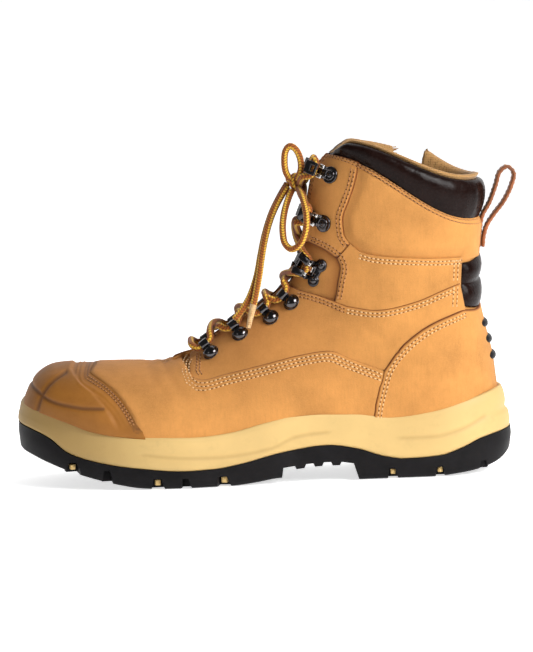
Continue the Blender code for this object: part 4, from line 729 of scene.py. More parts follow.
def spline(points, step=1.2):
    """Round curve through points, sampled closely."""
    points = np.asarray(points, float)
    knots = np.concatenate(([0.0], np.cumsum(np.linalg.norm(np.diff(points, axis=0), axis=1) ** 0.5)))
    ends = np.vstack((2 * points[0] - points[1], points, 2 * points[-1] - points[-2]))
    times = np.concatenate(([2 * knots[0] - knots[1]], knots, [2 * knots[-1] - knots[-2]]))
    result = []
    for i in range(1, len(ends) - 2):
        p0, p1, p2, p3 = ends[i - 1:i + 3]
        t0, t1, t2, t3 = times[i - 1:i + 3]
        count = max(int(np.linalg.norm(p2 - p1) / step), 2)
        for t in np.linspace(t1, t2, count, endpoint=False):
            a1 = (t1 - t) / (t1 - t0) * p0 + (t - t0) / (t1 - t0) * p1
            a2 = (t2 - t) / (t2 - t1) * p1 + (t - t1) / (t2 - t1) * p2
            a3 = (t3 - t) / (t3 - t2) * p2 + (t - t2) / (t3 - t2) * p3
            b1 = (t2 - t) / (t2 - t0) * a1 + (t - t0) / (t2 - t0) * a2
            b2 = (t3 - t) / (t3 - t1) * a2 + (t - t1) / (t3 - t1) * a3
            result.append((t2 - t) / (t2 - t1) * b1 + (t - t1) / (t2 - t1) * b2)
    result.append(points[-1])
    return np.array(result)


# Stitching

STITCH_RINGS = [(-0.5, 0.0), (-0.34, 0.85), (0.0, 1.0), (0.34, 0.85), (0.5, 0.0)]
STITCH_SIDES = 6


class Thread:
    """Stitches laid along runs on the boot, joined into one piece."""

    def __init__(self):
        self.points = []
        self.faces = []
        self.hole = []

    def stitch(self, at, run, normal, length, radius, dark):
        """One stitch, or with dark at 1 the hole between two."""
        across = np.cross(normal, run)
        start = len(self.points)
        for share, size in STITCH_RINGS:
            for k in range(1 if size == 0.0 else STITCH_SIDES):
                angle = 2.0 * math.pi * k / STITCH_SIDES
                spot = at + share * length * run
                high = 0.8 - 0.45 * dark
                spot = spot + size * radius * (math.cos(angle) * across + high * math.sin(angle) * normal)
                spot = spot - (0.35 if size == 0.0 else 0.0) * normal
                self.points.append(spot)
                self.hole.append(1.0 if size == 0.0 else dark)
        rings = [[start]]
        for r in range(len(STITCH_RINGS) - 2):
            rings.append([start + 1 + STITCH_SIDES * r + k for k in range(STITCH_SIDES)])
        rings.append([rings[-1][-1] + 1])
        for a, b in zip(rings, rings[1:]):
            for k in range(STITCH_SIDES):
                m = (k + 1) % STITCH_SIDES
                self.faces.append(clean_loop((a[k % len(a)], a[m % len(a)], b[m % len(b)], b[k % len(b)])))

    def run(self, path, normals, pitch=2.8, length=1.75, radius=0.48):
        path = np.asarray(path, float)
        walk = walked(path)
        for step, goal in enumerate(np.arange(0.5 * pitch, walk[-1], 0.5 * pitch)):
            at = sampled(goal, walk, path)
            run = sampled(goal + 0.5, walk, path) - sampled(goal - 0.5, walk, path)
            run = run / max(np.linalg.norm(run), 1e-9)
            normal = sampled(goal, walk, normals)
            normal = normal - np.dot(normal, run) * run
            normal = normal / np.linalg.norm(normal)
            if step % 2:
                self.stitch(at - 0.12 * normal, run, normal, 0.75 * length, 0.85 * radius, 1.0)
            else:
                self.stitch(at, run, normal, length, radius, 0.0)

    def marks(self, side, marks, lift, **sizes):
        marks = np.asarray(marks, float)
        if callable(lift):
            lift = lift(section(marks[:, 0], marks[:, 1], side))
        normals = outward(marks[:, 0], marks[:, 1], side)
        self.run(lifted(marks[:, 0], marks[:, 1], side, lift + 0.08), normals, **sizes)

    def rows(self, line, lift, offsets, **sizes):
        """Parallel rows beside an x, z line on both sides of the boot."""
        for side in SIDES:
            for offset in offsets:
                self.marks(side, side_marks(side, line, offset), lift, **sizes)

    def build(self, name, paint="thread"):
        made = mesh_piece(name, self.points, self.faces, (paint,), {"hole": self.hole})
        return settle(made)


# Materials

class Graph:
    """Short way to put nodes into a tree."""

    def __init__(self, tree):
        self.tree = tree

    def node(self, kind, settings=None, **values):
        made = self.tree.nodes.new(kind)
        for name, value in (settings or {}).items():
            setattr(made, name, value)
        for name, value in values.items():
            self.put(made.inputs[int(name[1:]) if name[0] == "_" else name.replace("_", " ")], value)
        return made

    def put(self, socket, value):
        """Link a socket or set its value."""
        if isinstance(value, bpy.types.NodeSocket):
            self.tree.links.new(value, socket)
        else:
            socket.default_value = value

    def noise(self, where, scale, detail=4.0, roughness=0.55):
        made = self.node("ShaderNodeTexNoise", Vector=where, Scale=scale, Detail=detail, Roughness=roughness)
        return made.outputs["Fac"]

    def ramp(self, value, stops):
        made = self.node("ShaderNodeValToRGB", Fac=value)
        band = made.color_ramp
        while len(band.elements) < len(stops):
            band.elements.new(0.5)
        for element, (spot, colour) in zip(band.elements, stops):
            element.position = spot
            element.color = (*colour, 1.0) if isinstance(colour, tuple) else (colour, colour, colour, 1.0)
        return made.outputs["Color"]

    def mix(self, share, a, b):
        made = self.node("ShaderNodeMix", {"data_type": "RGBA"})
        for number, value in ((0, share), (6, a), (7, b)):
            self.put(made.inputs[number], (*value, 1.0) if isinstance(value, tuple) else value)
        return made.outputs[2]

    def tint(self, tone, value, low, high, colour):
        """Mix a colour into a tone where a value goes from low to high: value and share of each."""
        return self.mix(self.ramp(value, [low, high]), tone, colour)

    def math(self, operation, a, b=0.0):
        return self.node("ShaderNodeMath", {"operation": operation}, _0=a, _1=b).outputs[0]

    def bump(self, height, strength, distance):
        made = self.node("ShaderNodeBump", Height=height, Strength=strength, Distance=distance)
        return made.outputs["Normal"]


def new_paint(name, roughness=0.6, metallic=0.0, sheen=0.0, specular=0.5):
    """Fresh material: its graph, its object coordinates and a call that links shader inputs."""
    paint = bpy.data.materials.new(name)
    paint.use_nodes = True
    graph = Graph(paint.node_tree)
    shader = paint.node_tree.nodes["Principled BSDF"]
    shader.inputs["Roughness"].default_value = roughness
    shader.inputs["Metallic"].default_value = metallic
    shader.inputs["Sheen Weight"].default_value = sheen
    shader.inputs["Specular IOR Level"].default_value = specular
    where = graph.node("ShaderNodeTexCoord").outputs["Object"]

    def out(**sockets):
        for key, value in sockets.items():
            graph.tree.links.new(value, shader.inputs[key.replace("_", " ")])

    return graph, where, out


def point_value(graph, name):
    return graph.node("ShaderNodeAttribute", {"attribute_name": name}).outputs["Fac"]


def scaled(colour, factor):
    return tuple(min(channel * factor, 1.0) for channel in colour)


def paint_nubuck(name, colour, edge_colour):
    graph, where, out = new_paint(name, roughness=0.86, sheen=0.07, specular=0.16)
    cloud = graph.noise(where, 38.0, 5.0)
    nap = graph.noise(where, 1500.0, 3.0)
    scuff = graph.noise(where, 160.0, 6.0, 0.7)
    tone = graph.ramp(cloud, [(0.30, scaled(colour, 0.78)), (0.5, colour), (0.72, scaled(colour, 1.16))])
    tone = graph.tint(tone, scuff, (0.35, 0.0), (0.75, 0.34), scaled(colour, 0.72))
    tone = graph.tint(tone, nap, (0.4, 0.0), (0.7, 0.3), scaled(colour, 1.25))
    # Painted shade: the shade values darken the leather towards a darker copy of the cut-edge colour.
    shade_tone = scaled(edge_colour, 1.3)
    tone = graph.tint(tone, point_value(graph, "shade"), (0.0, 0.0), (1.0, 1.0), shade_tone)
    tone = graph.tint(tone, point_value(graph, "edge"), (0.45, 0.0), (0.85, 1.0), edge_colour)
    slant = graph.node("ShaderNodeMapping", Vector=where, Rotation=(0.0, 0.7, 0.0),
                       Scale=(700.0, 500.0, 110.0))
    streak = graph.noise(slant.outputs["Vector"], 1.0, 4.0, 0.6)
    tone = graph.tint(tone, streak, (0.5, 0.0), (0.8, 0.3), scaled(colour, 0.66))
    height = graph.math("ADD", graph.math("MULTIPLY", scuff, 0.7), graph.math("ADD", nap, streak))
    out(Base_Color=tone, Roughness=graph.ramp(scuff, [(0.2, 0.80), (0.8, 0.93)]),
        Normal=graph.bump(height, 0.35, 0.0004))


def paint_foam(name, colour):
    graph, where, out = new_paint(name, specular=0.35)
    cloud = graph.noise(where, 26.0, 4.0)
    grain = graph.noise(where, 700.0, 3.0)
    dirt = graph.noise(where, 120.0, 7.0, 0.7)
    # Painted shade: the edge values darken the foam in the creases of the side lines and towards the toe.
    deep = tuple(channel * share for channel, share in zip(colour, (0.40, 0.33, 0.2)))
    tone = graph.ramp(cloud, [(0.3, scaled(colour, 0.9)), (0.7, scaled(colour, 1.06))])
    tone = graph.tint(tone, dirt, (0.55, 0.0), (0.8, 0.3), scaled(colour, 0.62))
    tone = graph.tint(tone, point_value(graph, "edge"), (0.1, 0.0), (1.0, 0.6), deep)
    out(Base_Color=tone, Roughness=graph.ramp(cloud, [(0.2, 0.5), (0.8, 0.62)]),
        Normal=graph.bump(grain, 0.18, 0.0003))


def paint_rubber(name, colour, roughness=0.5):
    graph, where, out = new_paint(name, specular=0.12)
    grain = graph.noise(where, 420.0, 4.0)
    dust = graph.noise(where, 60.0, 6.0, 0.7)
    tone = graph.ramp(dust, [(0.35, colour), (0.8, scaled(colour, 2.4))])
    out(Base_Color=tone, Roughness=graph.ramp(dust, [(0.2, roughness - 0.08), (0.8, roughness + 0.14)]),
        Normal=graph.bump(grain, 0.2, 0.0003))


def paint_cap(name, colour, groove):
    graph, where, out = new_paint(name, specular=0.3)
    cloud = graph.noise(where, 45.0, 5.0)
    grain = graph.noise(where, 900.0, 3.0)
    scuff = graph.noise(where, 210.0, 7.0, 0.75)
    tone = graph.ramp(cloud, [(0.3, scaled(colour, 0.82)), (0.7, scaled(colour, 1.15))])
    tone = graph.tint(tone, scuff, (0.5, 0.0), (0.8, 0.35), scaled(colour, 0.6))
    # Painted shade: the edge values darken the cap's grooves and stitch rows to the groove colour.
    tone = graph.tint(tone, point_value(graph, "edge"), (0.25, 0.0), (0.85, 1.0), groove)
    out(Base_Color=tone, Roughness=graph.ramp(scuff, [(0.2, 0.52), (0.8, 0.7)]),
        Normal=graph.bump(grain, 0.25, 0.0003))


def paint_leather(name, colour, roughness=0.5, specular=0.4):
    graph, where, out = new_paint(name, specular=specular)
    cell = graph.node("ShaderNodeTexVoronoi", {"feature": "SMOOTH_F1"}, Vector=where, Scale=620.0)
    cloud = graph.noise(where, 60.0, 5.0)
    wrinkle = graph.noise(where, 260.0, 6.0, 0.65)
    tone = graph.ramp(cloud, [(0.3, scaled(colour, 0.75)), (0.75, scaled(colour, 1.5))])
    height = graph.math("ADD", cell.outputs["Distance"], wrinkle)
    out(Base_Color=tone, Roughness=graph.ramp(wrinkle, [(0.25, roughness - 0.08), (0.75, roughness + 0.1)]),
        Normal=graph.bump(height, 0.22, 0.0004))


def paint_mesh_cloth(name, colour, holes):
    graph, where, out = new_paint(name, roughness=0.9, sheen=0.2, specular=0.2)
    cell = graph.node("ShaderNodeTexVoronoi", {"feature": "F1"}, Vector=where, Scale=900.0, Randomness=0.25)
    cloud = graph.noise(where, 70.0, 3.0)
    tone = graph.ramp(cell.outputs["Distance"], [(0.12, holes), (0.38, colour), (0.7, scaled(colour, 1.2))])
    tone = graph.tint(tone, cloud, (0.4, 0.0), (0.8, 0.4), scaled(colour, 0.6))
    out(Base_Color=tone, Normal=graph.bump(cell.outputs["Distance"], 0.6, 0.0005))


def paint_metal(name, colour, roughness):
    graph, where, out = new_paint(name, metallic=1.0)
    haze = graph.noise(where, 900.0, 4.0)
    wear = graph.noise(where, 240.0, 5.0)
    tone = graph.ramp(wear, [(0.35, colour), (0.8, scaled(colour, 1.7))])
    out(Base_Color=tone, Roughness=graph.ramp(haze, [(0.2, roughness * 0.8), (0.8, roughness * 1.4)]))


def paint_lace(name, looks):
    """Round braid: lengthwise stripes broken by the slant of the yarns."""
    graph, _, out = new_paint(name, roughness=0.75, sheen=0.15, specular=0.3)
    uv = graph.node("ShaderNodeUVMap", {"uv_map": "run"}).outputs["UV"]
    parts = graph.node("ShaderNodeSeparateXYZ", Vector=uv)
    turn = graph.math("ADD", parts.outputs["X"], graph.math("MULTIPLY", parts.outputs["Y"], 0.03))
    band = graph.math("FRACT", graph.math("ADD", graph.math("MULTIPLY", turn, 3.0), 0.5))
    yellow = tuple(looks.lace_light)
    brown = tuple(looks.lace_brown)
    tone = graph.ramp(band, [(0.0, brown), (0.28, brown), (0.35, yellow), (0.65, yellow), (0.72, brown),
                             (1.0, brown)])
    slant = graph.math("ADD", graph.math("MULTIPLY", parts.outputs["Y"], 7.6),
                       graph.math("MULTIPLY", graph.math("PINGPONG", parts.outputs["X"], 1.0 / 6.0), 4.5))
    yarn = graph.math("PINGPONG", slant, 0.5)
    tone = graph.tint(tone, yarn, (0.0, 0.9), (0.3, 0.0), tuple(looks.lace_dark))
    out(Base_Color=tone, Normal=graph.bump(yarn, 0.7, 0.0005))


def paint_thread(name, light, hole):
    graph, where, out = new_paint(name, roughness=0.7, sheen=0.1, specular=0.3)
    twist = graph.noise(where, 2600.0, 2.0)
    tone = graph.ramp(twist, [(0.3, scaled(light, 0.8)), (0.7, light)])
    tone = graph.tint(tone, point_value(graph, "hole"), (0.25, 0.0), (0.7, 1.0), hole)
    out(Base_Color=tone, Normal=graph.bump(twist, 0.4, 0.0002))


def paint_floor(name, colour):
    graph, where, out = new_paint(name, specular=0.2)
    grain = graph.noise(where, 9.0, 3.0)
    tone = graph.ramp(grain, [(0.3, scaled(colour, 0.99)), (0.7, colour)])
    out(Base_Color=tone, Roughness=graph.ramp(grain, [(0.2, 0.45), (0.8, 0.6)]), Emission_Color=tone)
    shader = bpy.data.materials[name].node_tree.nodes["Principled BSDF"]
    shader.inputs["Emission Strength"].default_value = FLOOR_GLOW


def make_paints(looks):
    nubuck = tuple(looks.nubuck)
    edge = tuple(looks.cut_edge)
    paint_nubuck("nubuck_looks", nubuck, edge)
    paint_nubuck("lining_leather", scaled(nubuck, 0.7), edge)
    paint_foam("foam_looks", tuple(looks.foam))
    paint_rubber("rubber_looks", tuple(looks.rubber))
    paint_rubber("bar_looks", scaled(tuple(looks.rubber), 1.6), 0.4)
    # The third colour is the painted shade in the cap's grooves and along its stitch rows.
    paint_cap("cap_looks", tuple(looks.cap), (0.17, 0.065, 0.016))
    paint_leather("collar_looks", tuple(looks.collar), 0.25, 0.11)
    paint_leather("strap_looks", tuple(looks.strap), 0.55)
    paint_mesh_cloth("mesh_looks", tuple(looks.mesh), scaled(tuple(looks.mesh), 0.25))
    paint_mesh_cloth("tape_looks", (0.03, 0.02, 0.016), (0.006, 0.004, 0.003))
    paint_metal("nickel_looks", tuple(looks.nickel), 0.12)
    paint_metal("bright_looks", (0.78, 0.76, 0.73), 0.16)
    paint_lace("lace_looks", looks)
    paint_mesh_cloth("tip_looks", scaled(tuple(looks.thread), 0.75), tuple(looks.lace_brown))
    paint_thread("thread", tuple(looks.thread), scaled(edge, 0.6))
    paint_thread("brown_thread", tuple(looks.brown_thread), scaled(edge, 0.6))
    paint_floor("floor_looks", tuple(looks.floor))


# Upper and panels

def lip_low(side, first_x, last_x, rise):
    """Marks along the lip line between two x."""
    return lip_marks(side, np.linspace(first_x, last_x, 60), rise)


def cap_line(side, shift, rise):
    """Marks of the cap's edge from the lip to the middle line of the roof."""
    line = moved(dense(CAP_EDGE), -shift)
    foot = lip_marks(side, [CAP_LIP_X - shift], rise)
    roof = np.array([[roof_row(CAP_ROOF_X - shift), 1.0]])
    return np.vstack((foot, find_marks(side, line)[::-1], roof))


def collar_puff(base, away):
    """Soft rise of the padded leather behind the collar seam."""
    gap, sign = line_distance(base[..., [0, 2]], PUFF_SEAM)
    return 2.2 * smooth_step(gap * np.where(sign > 0.0, 1.0, 0.0), 0.3, 7.0) * smooth_step(away, 0.0, 6.0)


def window_shade(base):
    """Shade of the base leather that lies deep beside the window's edge."""
    gap = line_distance(base[..., [0, 2]], WINDOW_LINE)[0]
    return 0.75 * np.exp(-gap / 6.0) * smooth_step(-base[..., 0], -56.0, -52.0)


def front_shade(base):
    """Painted shade on the leather, darker towards the lacing and the toe."""
    return 0.30 * smooth_step(-base[..., 0], -85.0, 10.0) * smooth_step(base[..., 2], 40.0, 95.0)


def make_upper():
    skin = Skin()
    for side in SIDES:
        front = np.concatenate((np.linspace(0.0, 2.0, 10), np.linspace(2.0, THROAT_ROW, 36)[1:]))
        back = np.linspace(THROAT_ROW, EDGE_ROW, 110)
        share = np.linspace(0.0, 1.0, 61)
        for rows in (front, back):
            edge = gap_phi(rows, side)
            grid = np.stack((np.repeat(rows[:, None], len(share), 1), edge[:, None] * share[None]), axis=-1)
            high = rows is back
            skin.add(side, grid, BASE_TOP, "tr" if high else "", relief=collar_puff if high else None,
                     shade=window_shade if high else None)
        edge = gap_phi(front, side)[:, None]
        share = np.linspace(0.0, 1.0, 10)[None]
        grid = np.stack((np.repeat(front[:, None], 10, 1), edge + (1.0 - edge) * share), axis=-1)
        skin.add(side, grid, BASE_TOP)
    return skin.build("upper", ("nubuck_looks", "lining_leather"), 2.0, slot="nubuck")


# Beads of the cap and the lines of painted shade along its rows of stitches, by their distance from the vamp
CAP_BEADS = (5.6, 8.0)
CAP_ROWS = ((1.3, 1.0), (3.0, 0.7))
CAP_BEAD_WIDTH = 0.8
CAP_BEAD_RISE = 0.45
CAP_DROP = 1.5
CAP_GROOVE_DEPTH = 1.1
CAP_GROOVE_WIDTH = 1.15


def make_toe_cap():
    skin = Skin()
    tip_row = float(bisect(1.0, 4.0, lambda row: LAST["top_z"](row) >= lip_height(LAST["top_x"](row)) - 1.0))
    tip = np.array([[tip_row, 1.0]])
    groove_lines = [dense(groove) for groove in CAP_GROOVES]
    seam = dense([(CAP_ROOF_X, 80.0)] + CAP_EDGE)

    def moulding(base, away):
        flat = base[..., [0, 2]]
        gap, sign = line_distance(flat, CAP_RIDGE)
        above_lip = base[..., 2] - lip_height(base[..., 0])
        rise = -CAP_DROP * smooth_step(gap * sign, -1.0, 1.4)
        rise = rise * smooth_step(above_lip, 0.5, 9.0)
        for step in CAP_BEADS:
            bead = np.exp(-((line_distance(flat, seam)[0] - step) / CAP_BEAD_WIDTH) ** 2)
            rise = rise + CAP_BEAD_RISE * bead * smooth_step(above_lip, 2.0, 9.0)
        return rise - CAP_GROOVE_DEPTH * groove_share(base, 0.0)

    # Share of the moulded grooves, and with rows at 1 also of the lines along the stitch rows; the cap's
    # colour takes it as painted shade.
    def groove_share(base, rows=1.0):
        flat = base[..., [0, 2]]
        share = np.zeros(base.shape[:-1])
        for line in groove_lines:
            share = np.maximum(share, np.exp(-(line_distance(flat, line)[0] / CAP_GROOVE_WIDTH) ** 2))
        for step, depth in CAP_ROWS:
            shade_lines = np.exp(-((line_distance(flat, seam)[0] - step) / CAP_BEAD_WIDTH) ** 2)
            share = np.maximum(share, rows * depth * shade_lines)
        return share

    for side in SIDES:
        edge_run = cap_line(side, -2.0, -1.0)
        rows = np.linspace(tip_row + 0.05, edge_run[0, 0], 60)
        low_run = np.vstack((tip, np.column_stack((rows, lip_phi(rows, side, -1.0)))))
        low_run[-1] = edge_run[0]
        roof_run = np.column_stack((np.linspace(tip_row, edge_run[-1, 0], 40), np.ones(40)))
        u = spread_shares(110.0, 1.1, last_cut=True)
        v = spread_shares(75.0, 1.1)
        grid = coons(along_marks(low_run, side, u), along_marks(roof_run, side, u),
                     np.repeat(tip, len(v), 0), along_marks(edge_run, side, v), u, v)
        # The grooves and the stitch rows of the cap get painted shade.
        skin.add(side, grid, CAP_LIFT, relief=moulding, shade_lines=groove_share)
    return skin.build("toe_cap", "cap_looks", 1.6, slot="cap_rubber")


def wing_run(side, shift):
    return side_marks(side, [FACING_FOOT] + WING_EDGE, shift)


FLEX_FOLDS = [[(-70.0, 71.0), (-66.0, 62.0), (-58.0, 54.0)], [(-60.0, 72.0), (-55.0, 62.0), (-46.0, 53.0)],
              [(-52.0, 74.0), (-46.0, 64.0), (-36.0, 55.0)]]


def soft_folds(folds, depth, width):
    """Soft troughs with a ridge beside them along listed lines."""
    lines = [dense(fold) for fold in folds]

    def relief(base, away):
        rise = np.zeros(base.shape[:-1])
        for line in lines:
            gap = line_distance(base[..., [0, 2]], line)[0]
            rise = rise - depth * np.exp(-(gap / width) ** 2)
            rise = rise + 0.5 * depth * np.exp(-((gap - 1.8 * width) / width) ** 2)
        return rise

    return relief


FLEX = soft_folds(FLEX_FOLDS, 0.4, 2.4)


def saddle(base, away):
    """Flex folds of the vamp and its fall to the throat."""
    fall = smooth_step(base[..., 0], -60.0, -37.0) * smooth_step(base[..., 2], 70.0, 78.0)
    fall = fall * smooth_step(-base[..., 0], 12.0, 26.0)
    return FLEX(base, away) - 2.2 * fall


def make_vamp():
    skin = Skin()
    back_x = -45.0
    back_at = 8.7
    throat_at = 9.5
    for side in SIDES:
        wing = wing_run(side, 0.0)
        foot = lip_marks(side, [back_x], -1.0)
        low_post = np.vstack((foot, wing[:1]))
        facing = np.array([[back_at, float(gap_phi(back_at, side))]])
        throat = np.array([[throat_at, float(gap_phi(throat_at, side)) + 0.004]])
        high_post = np.vstack((wing[:1], facing, throat, [[throat_at, 1.0]]))
        v_low = spread_shares(walk_length(low_post, side)[-1], last_cut=True)
        v_high = spread_shares(walk_length(high_post, side)[-1])
        post = np.vstack((along_marks(low_post, side, v_low), along_marks(high_post, side, v_high)[1:]))
        v = walk_length(post, side)
        v = v / v[-1]
        edge = along_marks(cap_line(side, 0.0, -1.0), side, v)
        u = spread_shares(40.0)
        low = lip_low(side, CAP_LIP_X, back_x, -1.0)
        low[0] = edge[0]
        roof = np.column_stack((np.linspace(edge[-1, 0], throat_at, 30), np.ones(30)))
        grid = coons(along_marks(low, side, u), along_marks(roof, side, u), edge, post, u, v)
        skin.add(side, grid, VAMP_LIFT, "l", relief=saddle, tint=0.0, shade=front_shade)
        front = np.vstack((lip_marks(side, [COUNTER_LIP_X + UNDER], -1.0),
                           side_marks(side, COUNTER_FRONT[1:], -UNDER), wing[-1:]))
        u = spread_shares(walk_length(wing, side)[-1])
        sill = lip_low(side, back_x, COUNTER_LIP_X + UNDER, -1.0)
        sill[0] = foot[0]
        grid = coons(along_marks(sill, side, u), along_marks(wing, side, u), post[:len(v_low)],
                     along_marks(front, side, v_low), u, v_low)
        skin.add(side, grid, VAMP_LIFT, "t", relief=saddle, shade=front_shade)
    return skin.build("vamp", "nubuck_looks", LEATHER, slot="nubuck")


def settle_back(base, away):
    """The counter lies closer to the last at the back."""
    return -1.7 * smooth_step(base[..., 0], 112.0, 142.0)


def make_heel_counter():
    skin = Skin()
    for side in SIDES:
        back_foot = np.array([[float(back_row(lip_height(FEATHER_HEEL_X) + 1.0)), 0.0]])
        low = np.vstack((lip_low(side, COUNTER_LIP_X, 144.0, -1.0), back_foot))
        top = side_marks(side, COUNTER_TOP)
        top = np.vstack((top, [[float(back_row(COUNTER_BACK_Z)), 0.0]]))
        front = np.vstack((low[:1], side_marks(side, COUNTER_FRONT[1:-1]), top[:1]))
        back = np.column_stack((np.linspace(back_foot[0, 0], top[-1, 0], 30), np.zeros(30)))
        u = spread_shares(115.0, first_cut=True)
        v = spread_shares(55.0, last_cut=True)
        grid = coons(along_marks(low, side, u), along_marks(top, side, u), along_marks(front, side, v),
                     along_marks(back, side, v), u, v)
        # The wide rim darkens its front and top edges over about 3 mm: the cut edge's own colour and painted
        # shade.
        skin.add(side, grid, COUNTER_LIFT, "lt", relief=settle_back, rim=3.2)
    return skin.build("heel_counter", "nubuck_looks", LEATHER, slot="nubuck")


QUARTER_TOP_ROW = 14.1
QUARTER_HIDDEN = [(70.0, 66.0), (80.0, 68.0)]
QUARTER_END = (127.0, 104.0)


def spaced(line, shares):
    """Points at shares of the length of an x, z line."""
    line = np.asarray(line, float)
    walk = walked(line)
    return sampled(np.asarray(shares, float) * walk[-1], walk, line)


def make_quarter(side, name):
    skin = Skin()
    wing = side_marks(side, [FACING_FOOT] + WING_EDGE[:-1], -UNDER)
    facing = facing_marks(side, THROAT_ROW, QUARTER_TOP_ROW)
    left = np.vstack((wing[:1], facing))
    top = np.vstack((facing[-1:], side_marks(side, QUARTER_TOP[:3])))
    v = spread_shares(walk_length(left, side)[-1], last_cut=True)
    foot = section(wing[-1, 0], wing[-1, 1], side)[[0, 2]]
    post_line = spaced([foot, QUARTER_TOP[2]], v)
    post = find_marks(side, post_line)
    post[0] = wing[-1]
    post[-1] = top[-1]
    u = spread_shares(walk_length(wing, side)[-1], first_cut=True)
    grid = coons(along_marks(wing, side, u), along_marks(top, side, u), along_marks(left, side, v), post,
                 u, v)
    skin.add(side, grid, QUARTER_LIFT, "lt", shade=front_shade)
    low = np.vstack((foot, QUARTER_HIDDEN, moved(dense(COUNTER_TOP[1:]), -UNDER), QUARTER_END))
    high = dense(QUARTER_TOP[2:])
    u = spread_shares(80.0)
    flat = coons(spaced(low, u), spaced(high, u), post_line, spaced([QUARTER_END, high[-1]], v), u, v, False)
    grid = find_marks(side, flat.reshape(-1, 2)).reshape(flat.shape)
    grid[:, 0] = post
    skin.add(side, grid, QUARTER_LIFT, "t", shade=front_shade)
    return skin.build(name, "nubuck_looks", LEATHER, slot="nubuck")


EYESTAY_ROW = 17.7
SEAM_TOP_X = 66.0


def make_shaft(side, name):
    skin = Skin()
    top_row = EDGE_ROW - 0.03
    facing = facing_marks(side, EYESTAY_ROW, top_row)
    roof = np.vstack((facing[:1], side_marks(side, WINDOW_ROOF)))
    corner = edge_mark(side, SEAM_TOP_X, top_row)
    seam = np.vstack((side_marks(side, COLLAR_SEAM[::-1]), corner))
    joint_run = np.vstack((roof[-1:], seam[:1]))
    u_joint = spread_shares(walk_length(joint_run, side)[-1])
    v_seam = spread_shares(walk_length(seam, side)[-1], last_cut=True)
    joint = along_marks(joint_run, side, u_joint)
    rear = np.vstack((joint, along_marks(seam, side, v_seam)[1:]))
    v = walk_length(rear, side)
    v = v / v[-1]
    phis = np.linspace(facing[-1, 1], corner[0, 1], 30)
    top = np.column_stack((np.full(30, top_row), phis))
    u = spread_shares(walk_length(roof, side)[-1], first_cut=True)
    skin.add(side, coons(along_marks(roof, side, u), along_marks(top, side, u), along_marks(facing, side, v),
                         rear, u, v), SHAFT_TOP, "btlr", shade=front_shade)
    low = side_marks(side, [WINDOW_EDGE[0]] + QUARTER_TOP[3:], -UNDER)
    hem_run = np.vstack((seam[:1], side_marks(side, COLLAR_BASE[1:])))
    u_hem = spread_shares(walk_length(hem_run, side)[-1])
    high = np.vstack((joint, along_marks(hem_run, side, u_hem)[1:]))
    u = walk_length(high, side)
    u = u / u[-1]
    window = np.vstack((low[:1], side_marks(side, WINDOW_EDGE[1:-1]), roof[-1:]))
    v = spread_shares(walk_length(window, side)[-1], last_cut=True)
    end = np.vstack((low[-1:], high[-1:]))
    skin.add(side, coons(along_marks(low, side, u), high, along_marks(window, side, v),
                         along_marks(end, side, v), u, v), SHAFT_TOP, "l", shade=front_shade)
    return skin.build(name, "nubuck_looks", 1.2, slot="nubuck")


FRONT_TURN = [(-40.0, 78.5), (-40.9, 72.0), (-41.3, 67.5), (-39.6, 64.3), (-36.3, 63.2)]
WING_TURN = [(-39.4, 73.5), (-41.0, 70.5), (-41.4, 67.2), (-39.6, 64.3), (-36.3, 63.2)]
BROWN_RADIUS = 0.6
PAD_COLUMN = [(124.4, 133.5), (124.0, 127.0), (123.4, 119.5)]
PAD_COLUMN_LOW = [(123.2, 117.0), (122.6, 111.0), (122.0, 104.0)]


def inset_phi(row, phi, side, inset):
    """phi of a mark moved in from an edge of the upper by a distance."""
    step = 0.05
    size = np.linalg.norm(section(row, phi, side) - section(row, phi - step, side), axis=-1)
    return phi - inset * step / size


